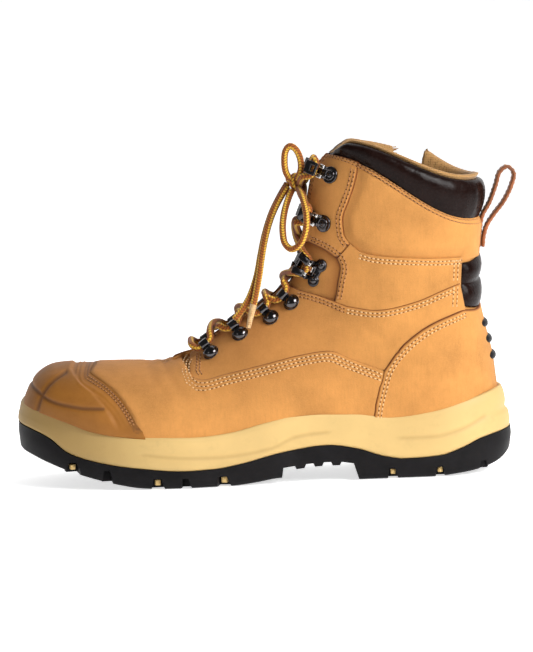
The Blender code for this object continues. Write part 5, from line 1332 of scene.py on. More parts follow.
def make_stitching():
    pale = Thread()
    pale.rows(WING_TURN + WING_EDGE[1:], lambda base: VAMP_LIFT + saddle(base, 0.0), (-2.2, -4.2, -6.2))
    pale.rows(COUNTER_FRONT[:-1] + COUNTER_TOP, lambda base: COUNTER_LIFT + settle_back(base, 0.0),
              (-3.0, -5.0))
    pale.rows(QUARTER_TOP[2:-1] + [(121.0, 117.2)], QUARTER_LIFT, (-2.2, -4.2))
    pale.rows(COLLAR_BASE[1:], SHAFT_TOP, (-1.8, -3.8))
    pale.rows(PAD_COLUMN, SHAFT_TOP, (0.0, -2.4))
    pale.rows(PAD_COLUMN_LOW, QUARTER_LIFT, (0.0, -2.4))
    pale.build("stitching")
    brown = Thread()
    brown.rows(WINDOW_EDGE[:-1] + WINDOW_ROOF[::-1], SHAFT_TOP, (-2.0, -4.0), radius=BROWN_RADIUS)
    brown.rows(COLLAR_SEAM, SHAFT_TOP, (-1.8, -3.8), radius=BROWN_RADIUS)
    brown.rows(FRONT_TURN[:-1], QUARTER_LIFT, (2.4, 4.4), radius=BROWN_RADIUS)
    brown.rows(QUARTER_TOP[:3], QUARTER_LIFT, (-2.2, -4.2), radius=BROWN_RADIUS)
    brown.rows(CAP_EDGE, CAP_LIFT - CAP_DROP, (-1.4, -3.0), pitch=2.4)
    for side in SIDES:
        for inset in (2.2, 4.2):
            for first, last, lift in ((THROAT_ROW + 0.6, QUARTER_TOP_ROW - 0.3, QUARTER_LIFT),
                                      (EYESTAY_ROW + 0.2, EDGE_ROW - 0.25, SHAFT_TOP)):
                run = facing_marks(side, first, last)
                run[:, 1] = inset_phi(run[:, 0], run[:, 1], side, inset)
                brown.marks(side, run, lift)
            phis = np.linspace(0.02, 0.985, 50) * float(gap_phi(EDGE_ROW, side))
            line = np.column_stack((np.full(50, EDGE_ROW - inset / 20.0), phis))
            base = section(line[:, 0], line[:, 1], side)
            lift = np.where(base[:, 0] < SEAM_TOP_X, SHAFT_TOP, collar_puff(base, np.full(50, inset)))
            brown.marks(side, line, lift)
    return brown.build("brown_stitching", "brown_thread")


# Pads, collar, bars and strap

PAD_PROFILE = list(zip([0.0, 0.12, 0.28, 0.44, 0.53, 0.62, 0.76, 0.9, 1.0],
                       [1.0, 2.9, 3.7, 3.0, 1.4, 2.9, 3.6, 2.7, 1.0]))
PAD_TOP_Z = 137.5


def make_achilles_pad():
    skin = Skin()
    lift = Curve(PAD_PROFILE)
    for side in SIDES:
        front = side_marks(side, PAD_FRONT[::-1])
        v = np.linspace(0.0, 1.0, 34)
        start = along_marks(front, side, v)
        heights = COUNTER_BACK_Z - 1.0 + v * (PAD_TOP_Z - COUNTER_BACK_Z + 1.0)
        stop = np.column_stack((back_row(heights), np.zeros(len(v))))
        u = np.concatenate(((0.0, 0.02, 0.06), np.linspace(0.12, 1.0, 18)))
        grid = start[:, None, :] * (1.0 - u[None, :, None]) + stop[:, None, :] * u[None, :, None]
        side_fall = 1.0 - (1.0 - np.clip(u / 0.22, 0.0, 1.0)) ** 2
        skin.add(side, grid, 1.0 + (lift(v)[:, None] - 1.0) * side_fall[None, :])
    made = skin.build("achilles_pad", "collar_looks", 1.0, slot="dark_leather")
    return made


HEEL_BARS = [91.1, 81.1, 70.9]
# Half height of a bar by its distance from the middle
BAR_REACH = [(0.0, 2.7), (5.0, 2.7), (10.0, 2.5), (13.0, 1.8), (14.5, 0.5)]
BAR_SINK = 2.0
BAR_RISE = 2.2


def make_heel_bar(name, z):
    skin = Skin()
    reach = Curve(BAR_REACH)
    ys = np.concatenate(((0.0,), np.linspace(1.0, BAR_REACH[-1][0], 16)))
    rises = np.linspace(-1.0, 1.0, 11)
    for side in SIDES:
        goals = np.array([[(side * y, z + rise * float(reach(y))) for y in ys] for rise in rises])
        marks = find_marks(side, goals.reshape(-1, 2), (1, 2), (CORNER_ROW, LAST_ROW)).reshape(goals.shape)
        marks[:, 0, 0] = back_row(goals[:, 0, 1])
        marks[:, 0, 1] = 0.0
        upright = np.sqrt(np.clip(1.0 - rises ** 2, 0.0, 1.0))
        across = np.sqrt(np.clip(1.0 - (ys / (BAR_REACH[-1][0] + 0.1)) ** 6, 0.0, 1.0))
        skin.add(side, marks, COUNTER_LIFT - BAR_SINK + BAR_RISE * (upright[:, None] * across))
    return skin.build(name, "bar_looks", 1.0, slot="black_rubber")


# Section row, outer lift, inner lift, share of the way to the facing
COLLAR_PAD = [(21.86, -0.5, -1.9, 1.0), (22.04, 1.0, -2.2, 1.0), (22.25, 3.2, -2.8, 1.0),
              (22.5, 4.2, -3.0, 1.0), (22.7, 3.2, -2.6, 1.0), (22.84, 0.6, -1.6, 1.0)]
COLLAR_LINING = [(21.2, -3.1, -4.4, 0.62), (22.0, -3.2, -6.5, 0.62), (22.16, -3.4, -7.0, 1.0),
                 (22.5, -3.6, -7.0, 1.0), (22.82, -3.2, -6.5, 1.0), (22.93, 0.6, -5.8, 1.0),
                 (23.0, -0.6, -4.0, 1.0)]
RISE = [(70.0, 0.0), (91.0, 3.0), (111.0, 9.0), (118.0, 6.8), (128.0, 3.2), (137.0, 0.7), (140.0, 0.0)]
RISE_SPAN = 12.0
ROW_SPACE = 24.0
COLLAR_RING = 36
COLLAR_ACROSS = 90
COLLAR_FADE = 0.17
COLLAR_END = 0.12
PAD_END_LIFT = -0.9


def collar_section(table):
    """Closed outline of a padded roll: row, lift and reach round it."""
    table = np.array(table)
    outer = table[:, [0, 1, 3]]
    inner = table[::-1][:, [0, 2, 3]]
    loop = np.vstack((outer, inner, outer[:1]))
    loop = np.vstack([at + (to - at) * t for at, to in zip(loop, loop[1:]) for t in (0.0, 0.5)])
    for _ in range(2):
        loop = 0.25 * np.roll(loop, 1, 0) + 0.5 * loop + 0.25 * np.roll(loop, -1, 0)
    full = np.vstack((loop, loop[:1]))
    walk = walked(full * (ROW_SPACE, 1.0, 1.0))
    goals = np.linspace(0.0, walk[-1], COLLAR_RING, endpoint=False)
    return sampled(goals, walk, full)


def make_collar(name, paint, table, notch):
    """Padded roll round the collar, raised and notched beside the zip."""
    outline = collar_section(table)
    rise = Curve(RISE)
    points, faces = [], []
    for side in SIDES:
        share = np.linspace(0.0, 1.0, COLLAR_ACROSS)
        ring = []
        for row, lift, reach in outline:
            edge = float(gap_phi(row, side))
            phi = share * reach * edge
            at = np.full(COLLAR_ACROSS, row)
            if row > EDGE_ROW:
                x = section(at, phi, side)[:, 0]
                grown = rise(x) / RISE_SPAN if side == MEDIAL else 0.0
                inside = smooth_step(x, COLLAR_GAP[0] - 2.5, COLLAR_GAP[0] + 1.5)
                inside = inside * smooth_step(-x, -COLLAR_GAP[1] - 2.0, -COLLAR_GAP[1] + 1.5)
                factor = 1.0 + grown
                if side == MEDIAL:
                    factor = factor * (1.0 - inside) + notch * inside
                at = EDGE_ROW + (at - EDGE_ROW) * factor
            fade = smooth_step(1.0 - share, 0.0, COLLAR_FADE)
            if row > EDGE_ROW:
                at = EDGE_ROW + (at - EDGE_ROW) * (COLLAR_END + (1.0 - COLLAR_END) * fade)
            if name == "collar_pad":
                lift = PAD_END_LIFT + (lift - PAD_END_LIFT) * fade
            pleat = 0.22 * np.sin(share * 60.0) * np.sin(share * 23.0 + 1.0) if np.max(lift) > 1.5 else 0.0
            ring.append(lifted(at, phi, side, lift + pleat))
        ring = np.array(ring)
        start = len(points)
        points.extend(ring.reshape(-1, 3))
        count = len(outline)
        for k in range(count):
            m = (k + 1) % count
            for i in range(COLLAR_ACROSS - 1):
                loop = [start + k * COLLAR_ACROSS + i, start + k * COLLAR_ACROSS + i + 1,
                        start + m * COLLAR_ACROSS + i + 1, start + m * COLLAR_ACROSS + i]
                faces.append(loop if side == LATERAL else loop[::-1])
        cap = [start + k * COLLAR_ACROSS + COLLAR_ACROSS - 1 for k in range(count)]
        faces.append(cap if side == MEDIAL else cap[::-1])
    made = mesh_piece(name, points, faces, (paint,))
    mended(made, weld=2e-5)
    made.data.shade_smooth()
    settle(made, (name,))
    return made


TONGUE_REACH = 2.0 / 3.0
TONGUE_LIFT = -4.0


def make_tongue():
    skin = Skin()
    for side in SIDES:
        rows = np.linspace(8.5, EDGE_ROW - 0.1, 70)
        edge = gap_phi(rows, side)
        share = np.linspace(0.0, 1.0, 26)
        low = (edge * TONGUE_REACH)[:, None]
        grid = np.stack((np.repeat(rows[:, None], len(share), 1), low + (1.0 - low) * share[None]), axis=-1)
        puff = 0.8 * np.sin(np.pi * share)[None] + 0.3 * np.sin(rows * 4.0)[:, None]
        skin.add(side, grid, TONGUE_LIFT + puff, "lt")
    made = skin.build("tongue", "collar_looks", 2.4, slot="dark_leather")
    return made


def band(path, width, thick, name, paint):
    """Flat strap with rounded edges that follows an x, z path on the middle plane."""
    path = spline([(x, 0.0, z) for x, z in path], 1.0)
    run = np.gradient(path, axis=0)
    run /= np.linalg.norm(run, axis=1, keepdims=True)
    normal = np.column_stack((-run[:, 2], np.zeros(len(run)), run[:, 0]))
    half = 0.5 * width
    flat = [(-half, 0.0), (-half + 0.25, 0.38), (-half + 0.8, 0.5), (0.0, 0.5), (half - 0.8, 0.5),
            (half - 0.25, 0.38)]
    flat += [(-y, -t) for y, t in flat]
    points = [p + np.array((0.0, y, 0.0)) + n * t * thick for p, n in zip(path, normal) for y, t in flat]
    count = len(flat)
    faces = ring_faces(len(path), count)
    faces.append(list(range(count))[::-1])
    faces.append([(len(path) - 1) * count + k for k in range(count)])
    edge = np.tile([1.0, 0.8, 0.0, 0.0, 0.0, 0.8], 2 * len(path))
    return mesh_piece(name, points, faces, (paint,), {"edge": edge}), path, normal


STRAP_WIDTH = 13.0
STRAP_THICK = 1.9
STRAP_ROWS = (-4.6, 4.6)


def make_pull_loop():
    made, path, normal = band(PULL_LOOP, STRAP_WIDTH, STRAP_THICK, "pull_loop", "strap_looks")
    settle(made, ("pull_loop",))
    thread = Thread()
    for y in STRAP_ROWS:
        for sign in (1.0, -1.0):
            thread.run(path + np.array((0.0, y, 0.0)) + sign * 0.5 * STRAP_THICK * normal, sign * normal,
                       pitch=3.0)
    return thread.build("loop_stitching", "brown_thread")


# Zip on the medial side

SLIDER_Z = 160.0
FACING_LIFT = 1.1
TAPE_LIFT = 0.5
TEETH_PITCH = 1.5
FRAYED_ENDS = [(88.2, 201.0, -1.0), (112.2, 197.5, 0.35)]
FRAY_COUNT = 7
FRAY_RADIUS = 0.36
TAPE_END = (110.6, 194.5)


def zip_marks(offsets, zs):
    """Grid of marks at offsets from the zip's middle line and at heights along it."""
    goals = np.array([[(float(zip_x(z)) + x, z) for x in offsets] for z in zs])
    return find_marks(MEDIAL, goals.reshape(-1, 2)).reshape(len(zs), len(offsets), 2)


def zip_run(low, high):
    """Step along the zip from one height to another."""
    first, last = zip_marks((0.0,), [low, high])[:, 0]
    return section(*last, MEDIAL) - section(*first, MEDIAL)


def zip_lift(zs):
    """Lift of the zip over the quarter and then over the padded shaft."""
    high = smooth_step(zs, 138.0, 146.0)
    return (QUARTER_LIFT + 0.2) * (1.0 - high) + 2.4 * high


def make_zip():
    facing = Skin()
    zs = np.concatenate(((96.5, 96.8, 97.4), np.linspace(99.0, 170.0, 40)))
    for offsets in ((-10.0, -9.7, -9.1, -6.5, -3.8, -3.2), (3.2, 3.8, 6.5, 9.1, 9.7, 10.0)):
        facing.add(MEDIAL, zip_marks(offsets, zs), zip_lift(zs)[:, None] + FACING_LIFT, "lr")
    hem = np.array((90.5, 90.8, 91.4, 93.5, 96.5))
    across = (-9.6, -9.3, -8.7, -4.0, 0.0, 4.0, 8.7, 9.3, 9.6)
    facing.add(MEDIAL, zip_marks(across, hem), zip_lift(hem)[:, None] + FACING_LIFT, "blr")
    facing.build("zip_facing", "nubuck_looks", 1.1, slot="nubuck")
    tape = Skin()
    run = np.linspace(97.0, 171.5, 50)
    tape.add(MEDIAL, zip_marks((-3.6, -1.8, 0.0, 1.8, 3.6), run), zip_lift(run)[:, None] + TAPE_LIFT)
    made = tape.build("zip_tape", "tape_looks", 0.5, nodes=("zip_chain",), slot="zip_tape")
    teeth_points, teeth_faces = [], []
    heights = np.arange(98.5, 170.0, TEETH_PITCH)
    centre = zip_marks((-0.7, 0.7), heights)
    for i, z in enumerate(heights):
        for k in (0, 1):
            row, phi = centre[i, k]
            at = lifted(row, phi, MEDIAL, float(zip_lift(np.array(z))) + 1.0)
            normal = outward(row, phi, MEDIAL)
            ahead = zip_run(z, z + 1.0)
            ahead = ahead / np.linalg.norm(ahead)
            across = np.cross(ahead, normal)
            shift = 0.5 * TEETH_PITCH * ahead * k
            start = len(teeth_points)
            for n in (-0.5, 0.6):
                inset = 1.0 if n < 0 else 0.75
                for a, b in ((-1.4, -0.5), (1.4, -0.5), (1.4, 0.5), (-1.4, 0.5)):
                    teeth_points.append(at + shift + n * normal + inset * (a * across + b * ahead))
            for loop in ((3, 2, 1, 0), (4, 5, 6, 7), (0, 1, 5, 4), (1, 2, 6, 5), (2, 3, 7, 6), (3, 0, 4, 7)):
                teeth_faces.append([start + n for n in loop])
    teeth = mesh_piece("zip_teeth", teeth_points, teeth_faces, ("nickel_looks",), smooth=False)
    settle(teeth)
    make_slider()
    return made


def make_slider():
    """Slider at the top of the closed zip with its leather puller."""
    seat = Seat(MEDIAL, float(zip_x(SLIDER_Z)), SLIDER_Z, float(zip_lift(np.array(SLIDER_Z))) + 1.4)
    ahead = zip_run(SLIDER_Z - 1.0, SLIDER_Z + 1.0)
    seat.v = ahead - np.dot(ahead, seat.n) * seat.n
    seat.v /= np.linalg.norm(seat.v)
    seat.u = np.cross(seat.v, seat.n)
    slider = joined("zip_slider", [block((0.0, 0.0, 1.1), (8.0, 9.6, 2.0), bevel=0.8),
                                   block((0.0, 0.0, 2.9), (2.2, 7.4, 1.6), bevel=0.6)])
    tab = block((0.0, -14.6, 2.7), (7.0, 24.0, 1.5), paint="strap_looks", bevel=0.6)
    puller = joined("zip_puller", [tab])
    for made, slot in ((slider, "black_nickel"), (puller, "strap_leather")):
        made.data.transform(seat.matrix())
        settle(made)


def make_fray():
    """Loose threads at the cut ends of the lining beside the zip."""
    paths = []
    for x, z, way in FRAYED_ENDS:
        seat = Seat(MEDIAL, x, z, -4.6)
        for k in range(FRAY_COUNT):
            reach = way * (2.4 + 0.9 * (k % 3))
            lean = 0.5 * (k % 2)
            thread = [seat.point(-0.4 * way, 0.9 * k - 4.0, lean),
                      seat.point(0.5 * reach, 0.9 * k - 3.4, 0.6),
                      seat.point(reach, 0.9 * k - 2.6 + lean, 0.2 + lean)]
            paths.append(spline(thread, 0.8))
    made = tube_piece("lining_fray", paths, FRAY_RADIUS, "mesh_looks", 6)
    settle(made)
    tape = joined("zip_tape_end", [ball((0.0, 0.0, 0.0), (1.5, 3.0, 1.4), 20, paint="tape_looks")])
    tape.data.transform(Seat(MEDIAL, *TAPE_END, -5.0).matrix())
    settle(tape)


# Sole

def sole_points(inset, toe_inset, heel_inset, height, stations):
    """Closed ring round the sole: lateral from toe to heel, then medial back."""
    toe = TOE_X + toe_inset
    heel = HEEL_X - heel_inset
    share = 0.5 - 0.5 * np.cos(np.pi * np.arange(stations + 1) / stations)
    x = toe + (heel - toe) * share
    z = height(TOE_X + (HEEL_X - TOE_X) * share)
    lateral = np.column_stack((x, plan_edge(x, LATERAL, inset, toe, heel), z))
    medial = np.column_stack((x, plan_edge(x, MEDIAL, inset, toe, heel), z))
    return np.vstack((lateral, medial[-2:0:-1]))


def ring_faces(rings, count):
    faces = []
    for r in range(rings - 1):
        for k in range(count):
            m = (k + 1) % count
            faces.append([r * count + k, r * count + m, (r + 1) * count + m, (r + 1) * count + k])
    return faces


def strip_cap(start, count, flip):
    """Faces across a ring, between its two sides."""
    faces = []
    half = count // 2
    for i in range(half):
        loop = clean_loop((start + i, start + i + 1, start + (count - i - 1) % count,
                           start + (count - i) % count))
        faces.append(loop[::-1] if flip else loop)
    return faces


def closed_faces(rings):
    """Faces of stacked rings with both ends closed."""
    count = len(rings[0])
    faces = ring_faces(len(rings), count) + strip_cap(0, count, True)
    return faces + strip_cap((len(rings) - 1) * count, count, False)


STATIONS = 110
SIDE_LINES = [[(-74.2, 21.6), (-52.8, 19.1), (-27.7, 18.2), (4.9, 22.0), (21.6, 28.7), (42.0, 30.5)],
              [(84.4, 24.9), (104.8, 24.8), (122.7, 28.4), (138.6, 35.3)]]
SIDE_LINE_WIDTH = 1.4
SIDE_LINE_DEPTH = 0.7
# Share of the midsole's height, inset of its wall there
SIDE_INSET = [(0.0, 0.8), (0.12, 0.0), (0.36, 0.2), (0.6, 0.6), (0.85, 0.9), (1.0, 1.8)]
TOE_INSET = [(0.0, 0.8), (0.12, 0.0), (0.36, 0.4), (0.48, 0.9), (0.62, 1.4), (0.85, 2.2), (1.0, 3.6)]
HEEL_INSET = [(0.0, 0.8), (0.12, 0.8), (0.36, 1.4), (0.48, 3.6), (0.62, 3.2), (0.85, 4.0), (1.0, 5.4)]


def make_midsole():
    side_inset, toe_inset, heel_inset = Curve(SIDE_INSET), Curve(TOE_INSET), Curve(HEEL_INSET)
    rings, marks = [], []

    def level(share, more=0.0, drop=0.0):
        def height(x):
            return joint_height(x) + share * (lip_height(x) - joint_height(x)) + drop

        plain = sole_points(float(side_inset(share)) + more, float(toe_inset(share)) + more,
                            float(heel_inset(share)) + more, height, STATIONS)
        dent = np.zeros(len(plain))
        if more == 0.0:
            for line in SIDE_LINES:
                gap = line_distance(plain[:, [0, 2]], dense(line))[0]
                dent = np.maximum(dent, np.exp(-(gap / SIDE_LINE_WIDTH) ** 2))
        centre = plain * np.array((0.9, 0.0, 0.0))
        inward = centre - plain
        inward[:, 2] = 0.0
        inward /= np.maximum(np.linalg.norm(inward, axis=1, keepdims=True), 1e-9)
        rings.append(plain + SIDE_LINE_DEPTH * dent[:, None] * inward)
        # Painted shade in the creases of the side lines and towards the toe.
        marks.append(np.maximum(0.5 * dent, 0.95 * smooth_step(-plain[:, 0], 50.0, 125.0)))

    def floor(x):
        return bed_height(x) - 1.0

    level(0.0, 2.6)
    for share in np.linspace(0.0, 1.0, 30):
        level(float(share))
    level(1.0, 0.7, 0.35)
    level(1.0, 1.6, 0.3)
    level(1.0, 2.6, -0.3)
    rings.append(sole_points(4.8, 6.6, 8.0, lip_height, STATIONS) - np.array((0.0, 0.0, 3.0)))
    rings.append(sole_points(5.2, 7.0, 8.4, floor, STATIONS))
    marks += [np.zeros(len(rings[0]))] * 5
    stacked = np.vstack(rings)
    made = mesh_piece("midsole", stacked, closed_faces(rings), ("foam_looks",),
                      {"edge": np.concatenate(marks)[:len(stacked)]})
    return settle(made, ("midsole",))


def prism(name, outline, low_y, high_y):
    """Straight cutter of an x, z outline between two y values."""
    outline = list(outline)
    points = [(x, y, z) for y in (low_y, high_y) for x, z in outline]
    count = len(outline)
    faces = [list(range(count)), [count + k for k in range(count)][::-1]]
    for k in range(count):
        m = (k + 1) % count
        faces.append([m, k, count + k, count + m])
    return mended(mesh_piece(name, points, faces, ("rubber_looks",), smooth=False))


def core_height(x):
    """Top of the outsole under the midsole."""
    return np.minimum(joint_height(x), bed_height(x) - 5.0)


GROOVE_DEPTH = 6.2
CHANNEL_DEPTH = 4.5
CHANNEL_HALF = 3.5
CUT_REACH = 80.0
TREAD_ANGLE = math.radians(35.0)


def cut_away(thing, tool):
    """Take a tool's shape out of a piece."""
    apply_modifier(thing, "BOOLEAN", operation="DIFFERENCE", solver="EXACT", object=tool)
    bpy.data.objects.remove(tool, do_unlink=True)


def make_outsole():
    def joint(x):
        return joint_height(x) - 0.3

    def core(x):
        return core_height(x) - 0.3

    def shoulder(x):
        return 0.35 * tread_height(x) + 0.65 * joint(x)

    def foot(x):
        return tread_height(x) + 2.0

    def low_foot(x):
        return tread_height(x) + 0.6

    levels = [(2.8, 3.0, 3.4, tread_height), (1.5, 1.7, 2.0, low_foot), (0.6, 0.8, 1.0, foot),
              (0.0, 0.0, 0.0, shoulder), (0.2, 0.2, 0.4, joint), (2.9, 2.9, 2.9, joint),
              (3.1, 3.1, 3.1, core)]
    rings = [sole_points(*row, STATIONS) for row in levels]
    made = mesh_piece("outsole", np.vstack(rings), closed_faces(rings), ("rubber_looks",))
    tools = []
    for x, turn, width in GROOVES:
        reach = BALL_LATERAL * math.tan(math.radians(turn))
        roof = min(float(core_height(x + step)) for step in (-reach, 0.0, reach)) - 2.0
        low = float(tread_height(x))
        tip = min(low + GROOVE_DEPTH, roof)
        outline = [(-0.8 * width, low - 6.0), (0.8 * width, low - 6.0), (0.62 * width, low),
                   (0.3 * width, tip), (-0.42 * width, tip), (-0.62 * width, low)]
        tool = prism("groove", [(x + a, b) for a, b in outline], -CUT_REACH, CUT_REACH)
        centre = Matrix.Translation(to_frame((x, 0.0, 0.0)))
        tool.data.transform(centre @ Matrix.Rotation(math.radians(turn), 4, "Z") @ centre.inverted())
        tools.append(tool)
    for start, stop, y in CHANNELS:
        xs = np.linspace(start, stop, 12)
        outline = [(x, float(tread_height(x)) + CHANNEL_DEPTH) for x in xs] + [(stop, -12.0), (start, -12.0)]
        tools.append(prism("channel", outline, y - CHANNEL_HALF, y + CHANNEL_HALF))
    tools.append(prism("arch", ARCH, -CUT_REACH, CUT_REACH))
    for tool in tools:
        cut_away(made, tool)
    select_only(made)
    bpy.ops.object.shade_smooth_by_angle(angle=TREAD_ANGLE)
    make_tread_detail()
    return settle(made, ("outsole",))


# Size of the pegs by the x of their groove
PEG_GROOVES = {-128.0: 3.2, -70.5: 3.6, -15.0: 3.8, 83.0: 3.2, 106.0: 3.2}
PEG_INSET = 5.5
# Inset of the dark blocks that stand in for the shade on the floor under the grooves.
SHADE_BLOCK_INSET = 11.0
TIE_Y = 27.0


def groove_end(x, slope, side, inset):
    """Point on the tread where a turned groove comes within an inset of the sole's edge."""
    y = 0.0
    for _ in range(6):
        y = float(plan_edge(x - slope * y, side, inset, TOE_X, HEEL_X))
    return x - slope * y, y, float(tread_height(x - slope * y))


def tread_block(stretch, at, turn, **looks):
    """Block in a groove, turned with it."""
    made = block((0.0, 0.0, 0.0), stretch, **looks)
    made.data.transform(Matrix.Translation(to_frame(at)) @ Matrix.Rotation(math.radians(turn), 4, "Z"))
    return made


def make_tread_detail():
    """Tie bars across the grooves, dark blocks near their ends that stand in for the shade under them, and
    the tan pegs that show at their ends.
    """
    bars, pegs = [], []
    for x, turn, width in GROOVES:
        slope = math.tan(math.radians(turn))
        for y in (-TIE_Y, TIE_Y):
            at = (x - slope * y, y, float(tread_height(x - slope * y)) + 4.5)
            bars.append(tread_block((1.3 * width, 9.0, 7.0), at, turn, paint="rubber_looks"))
        # Dark blocks near each end of the groove stand in for the shade on the floor seen through it.
        for side in SIDES:
            x_end, y, low = groove_end(x, slope, side, SHADE_BLOCK_INSET)
            at = (x_end, y, low + 3.8)
            bars.append(tread_block((1.3 * width, 6.0, 7.0), at, turn, paint="rubber_looks"))
        for side in SIDES if x in PEG_GROOVES else ():
            size = PEG_GROOVES[x]
            x_end, y, low = groove_end(x, slope, side, PEG_INSET)
            at = (x_end, y, low + 4.2)
            pegs.append(tread_block((size, 7.0, size), at, turn, paint="foam_looks", bevel=0.6))
    settle(joined("tread_bars_and_shade_blocks", bars))
    settle(joined("tread_pegs", pegs))


# Insets of the insole from the sole's outline: side, toe, heel
INSOLE_INSETS = (FEATHER_INSET + 2.8, 10.0, 11.5)


def make_insole():
    rings = []
    for more, rise in ((1.2, 0.6), (0.2, 2.4), (0.0, 4.4), (0.8, 5.1), (3.0, 5.4)):
        def height(x, rise=rise):
            return bed_height(x) + rise

        rings.append(sole_points(*(inset + more for inset in INSOLE_INSETS), height, 80))
    made = mesh_piece("insole", np.vstack(rings), closed_faces(rings), ("mesh_looks",))
    settle(made, ("insole",))
    return made


# Lace hardware

class Seat:
    """Local axes on the upper: u to the throat, v up along it, n out."""

    def __init__(self, side, x, z, lift):
        row, phi = find_marks(side, [(x, z)])[0]
        self.side = side
        self.n = outward(row, phi, side)
        self.at = section(row, phi, side) + lift * self.n
        step = section(row, phi + 0.01, side) - section(row, phi - 0.01, side)
        self.u = step - np.dot(step, self.n) * self.n
        self.u /= np.linalg.norm(self.u)
        self.v = np.cross(self.n, self.u) * side

    def point(self, u, v, n):
        return self.at + u * self.u + v * self.v + n * self.n

    def matrix(self):
        """Local millimetres as metres into the row frame."""
        at = to_frame(self.at)
        rows = [[self.u[k], self.v[k], self.n[k], at[k]] for k in range(3)]
        return Matrix(rows + [[0.0, 0.0, 0.0, 1.0]])


SMOOTH_ANGLE = math.radians(42.0)


def primitive(kind, place, stretch, turn=(0.0, 0.0, 0.0), paint="nickel_looks", bevel=0.25, **options):
    """Primitive at a place in millimetres, stretched to a size, with rounded edges."""
    bpy.ops.object.select_all(action="DESELECT")
    adder = getattr(bpy.ops.mesh, "primitive_%s_add" % kind)
    adder(location=[value * MM for value in place], rotation=turn, **options)
    made = bpy.context.active_object
    made.scale = [value * MM for value in stretch]
    bpy.ops.object.transform_apply(location=True, rotation=True, scale=True)
    if bevel:
        apply_modifier(made, "BEVEL", width=bevel * MM, segments=3, limit_method="ANGLE")
    made.data.materials.append(bpy.data.materials[paint])
    return made


def block(place, stretch, **looks):
    return primitive("cube", place, stretch, size=1.0, **looks)


def disc(place, stretch, vertices=32, **looks):
    return primitive("cylinder", place, stretch, vertices=vertices, radius=1.0, depth=1.0, **looks)


def ball(place, stretch, segments, rings=12, **looks):
    return primitive("uv_sphere", place, stretch, bevel=0.0, segments=segments, ring_count=rings, **looks)


def joined(name, parts):
    """One piece from several parts."""
    bpy.ops.object.select_all(action="DESELECT")
    for part in parts:
        part.select_set(True)
    bpy.context.view_layer.objects.active = parts[0]
    if len(parts) > 1:
        bpy.ops.object.join()
    made = bpy.context.active_object
    made.name = name
    bpy.ops.object.shade_smooth_by_angle(angle=SMOOTH_ANGLE)
    return made


# Place of the lace in each model, towards the throat and out
RING_U = 6.6
RING_N = 3.0
LOCK_HOLE = (6.4, 4.0)
SPEED_HOLE = (10.6, 3.9)


def model_ring_eyelet():
    """Dome rivet with a lace sleeve beside it."""
    parts = [ball((0.0, 0.0, 0.7), (4.9, 4.9, 3.7), 32, 18), disc((0.0, 0.0, 0.35), (5.3, 5.3, 0.7))]
    level = (0.5 * math.pi, 0.0, 0.0)
    sleeve = disc((RING_U, 0.0, RING_N), (3.2, 3.2, 5.6), turn=level, bevel=0.0)
    cut_away(sleeve, disc((RING_U, 0.0, RING_N), (2.35, 2.35, 9.0), turn=level, bevel=0.0))
    apply_modifier(sleeve, "BEVEL", width=0.3 * MM, segments=3, limit_method="ANGLE")
    parts += [sleeve, block((3.2, 0.0, 1.0), (3.0, 4.6, 1.6), bevel=0.3)]
    return joined("ring_eyelet_model", parts)


def model_speed_hook():
    """Riveted disc with a broad strap that hooks over the lace, open in a window."""
    parts = [disc((0.0, 0.0, 0.8), (5.4, 5.4, 1.6), 40, bevel=0.45),
             primitive("torus", (0.0, 0.0, 1.6), (1.0, 1.0, 1.0), bevel=0.0, major_radius=3.0,
                       minor_radius=0.6, major_segments=40, minor_segments=10),
             ball((0.0, 0.0, 1.2), (2.0, 2.0, 0.9), 24),
             block((7.8, 0.0, 0.7), (15.0, 7.8, 1.2), bevel=0.35),
             block((15.0, 0.0, 3.8), (1.5, 7.8, 7.2), bevel=0.5),
             block((13.4, 0.0, 7.1), (4.6, 8.2, 1.5), bevel=0.5),
             block((7.6, 0.0, 7.1), (2.0, 8.2, 1.4), bevel=0.45)]
    for v in (-3.1, 3.1):
        parts.append(block((10.0, v, 7.1), (5.0, 2.2, 1.5), bevel=0.45))
        parts.append(block((5.9, v, 2.6), (3.6, 2.5, 3.2), paint="bright_looks", bevel=0.4))
    return joined("speed_hook_model", parts)


def model_lock_hook():
    """Two-rivet plate with a forked jaw that holds the lace."""
    parts = []
    for v in (-5.3, 5.3):
        parts.append(disc((0.0, v, 0.6), (4.1, 4.1, 1.2), bevel=0.4))
        parts.append(ball((0.0, v, 1.2), (2.4, 2.4, 0.9), 24))
    parts.append(block((0.6, 0.0, 0.6), (5.6, 8.0, 1.2), bevel=0.4))
    parts.append(block((6.2, 0.0, 0.9), (9.0, 7.0, 1.4), bevel=0.4))
    parts.append(block((6.0, 0.0, 1.8), (5.2, 3.4, 0.5), paint="bright_looks", bevel=0.15))
    for way in (-1.0, 1.0):
        parts.append(block((9.2, way * 4.5, 6.9), (8.6, 4.8, 1.7), turn=(0.0, 0.0, way * 0.2), bevel=0.6))
        parts.append(block((3.8, way * 5.2, 3.4), (2.2, 2.4, 6.4), bevel=0.5))
        parts.append(block((4.6, way * 3.4, 6.2), (2.8, 2.2, 1.8), paint="bright_looks", bevel=0.3))
    parts.append(block((12.6, 0.0, 3.6), (1.6, 7.4, 6.4), bevel=0.5))
    return joined("lock_hook_model", parts)


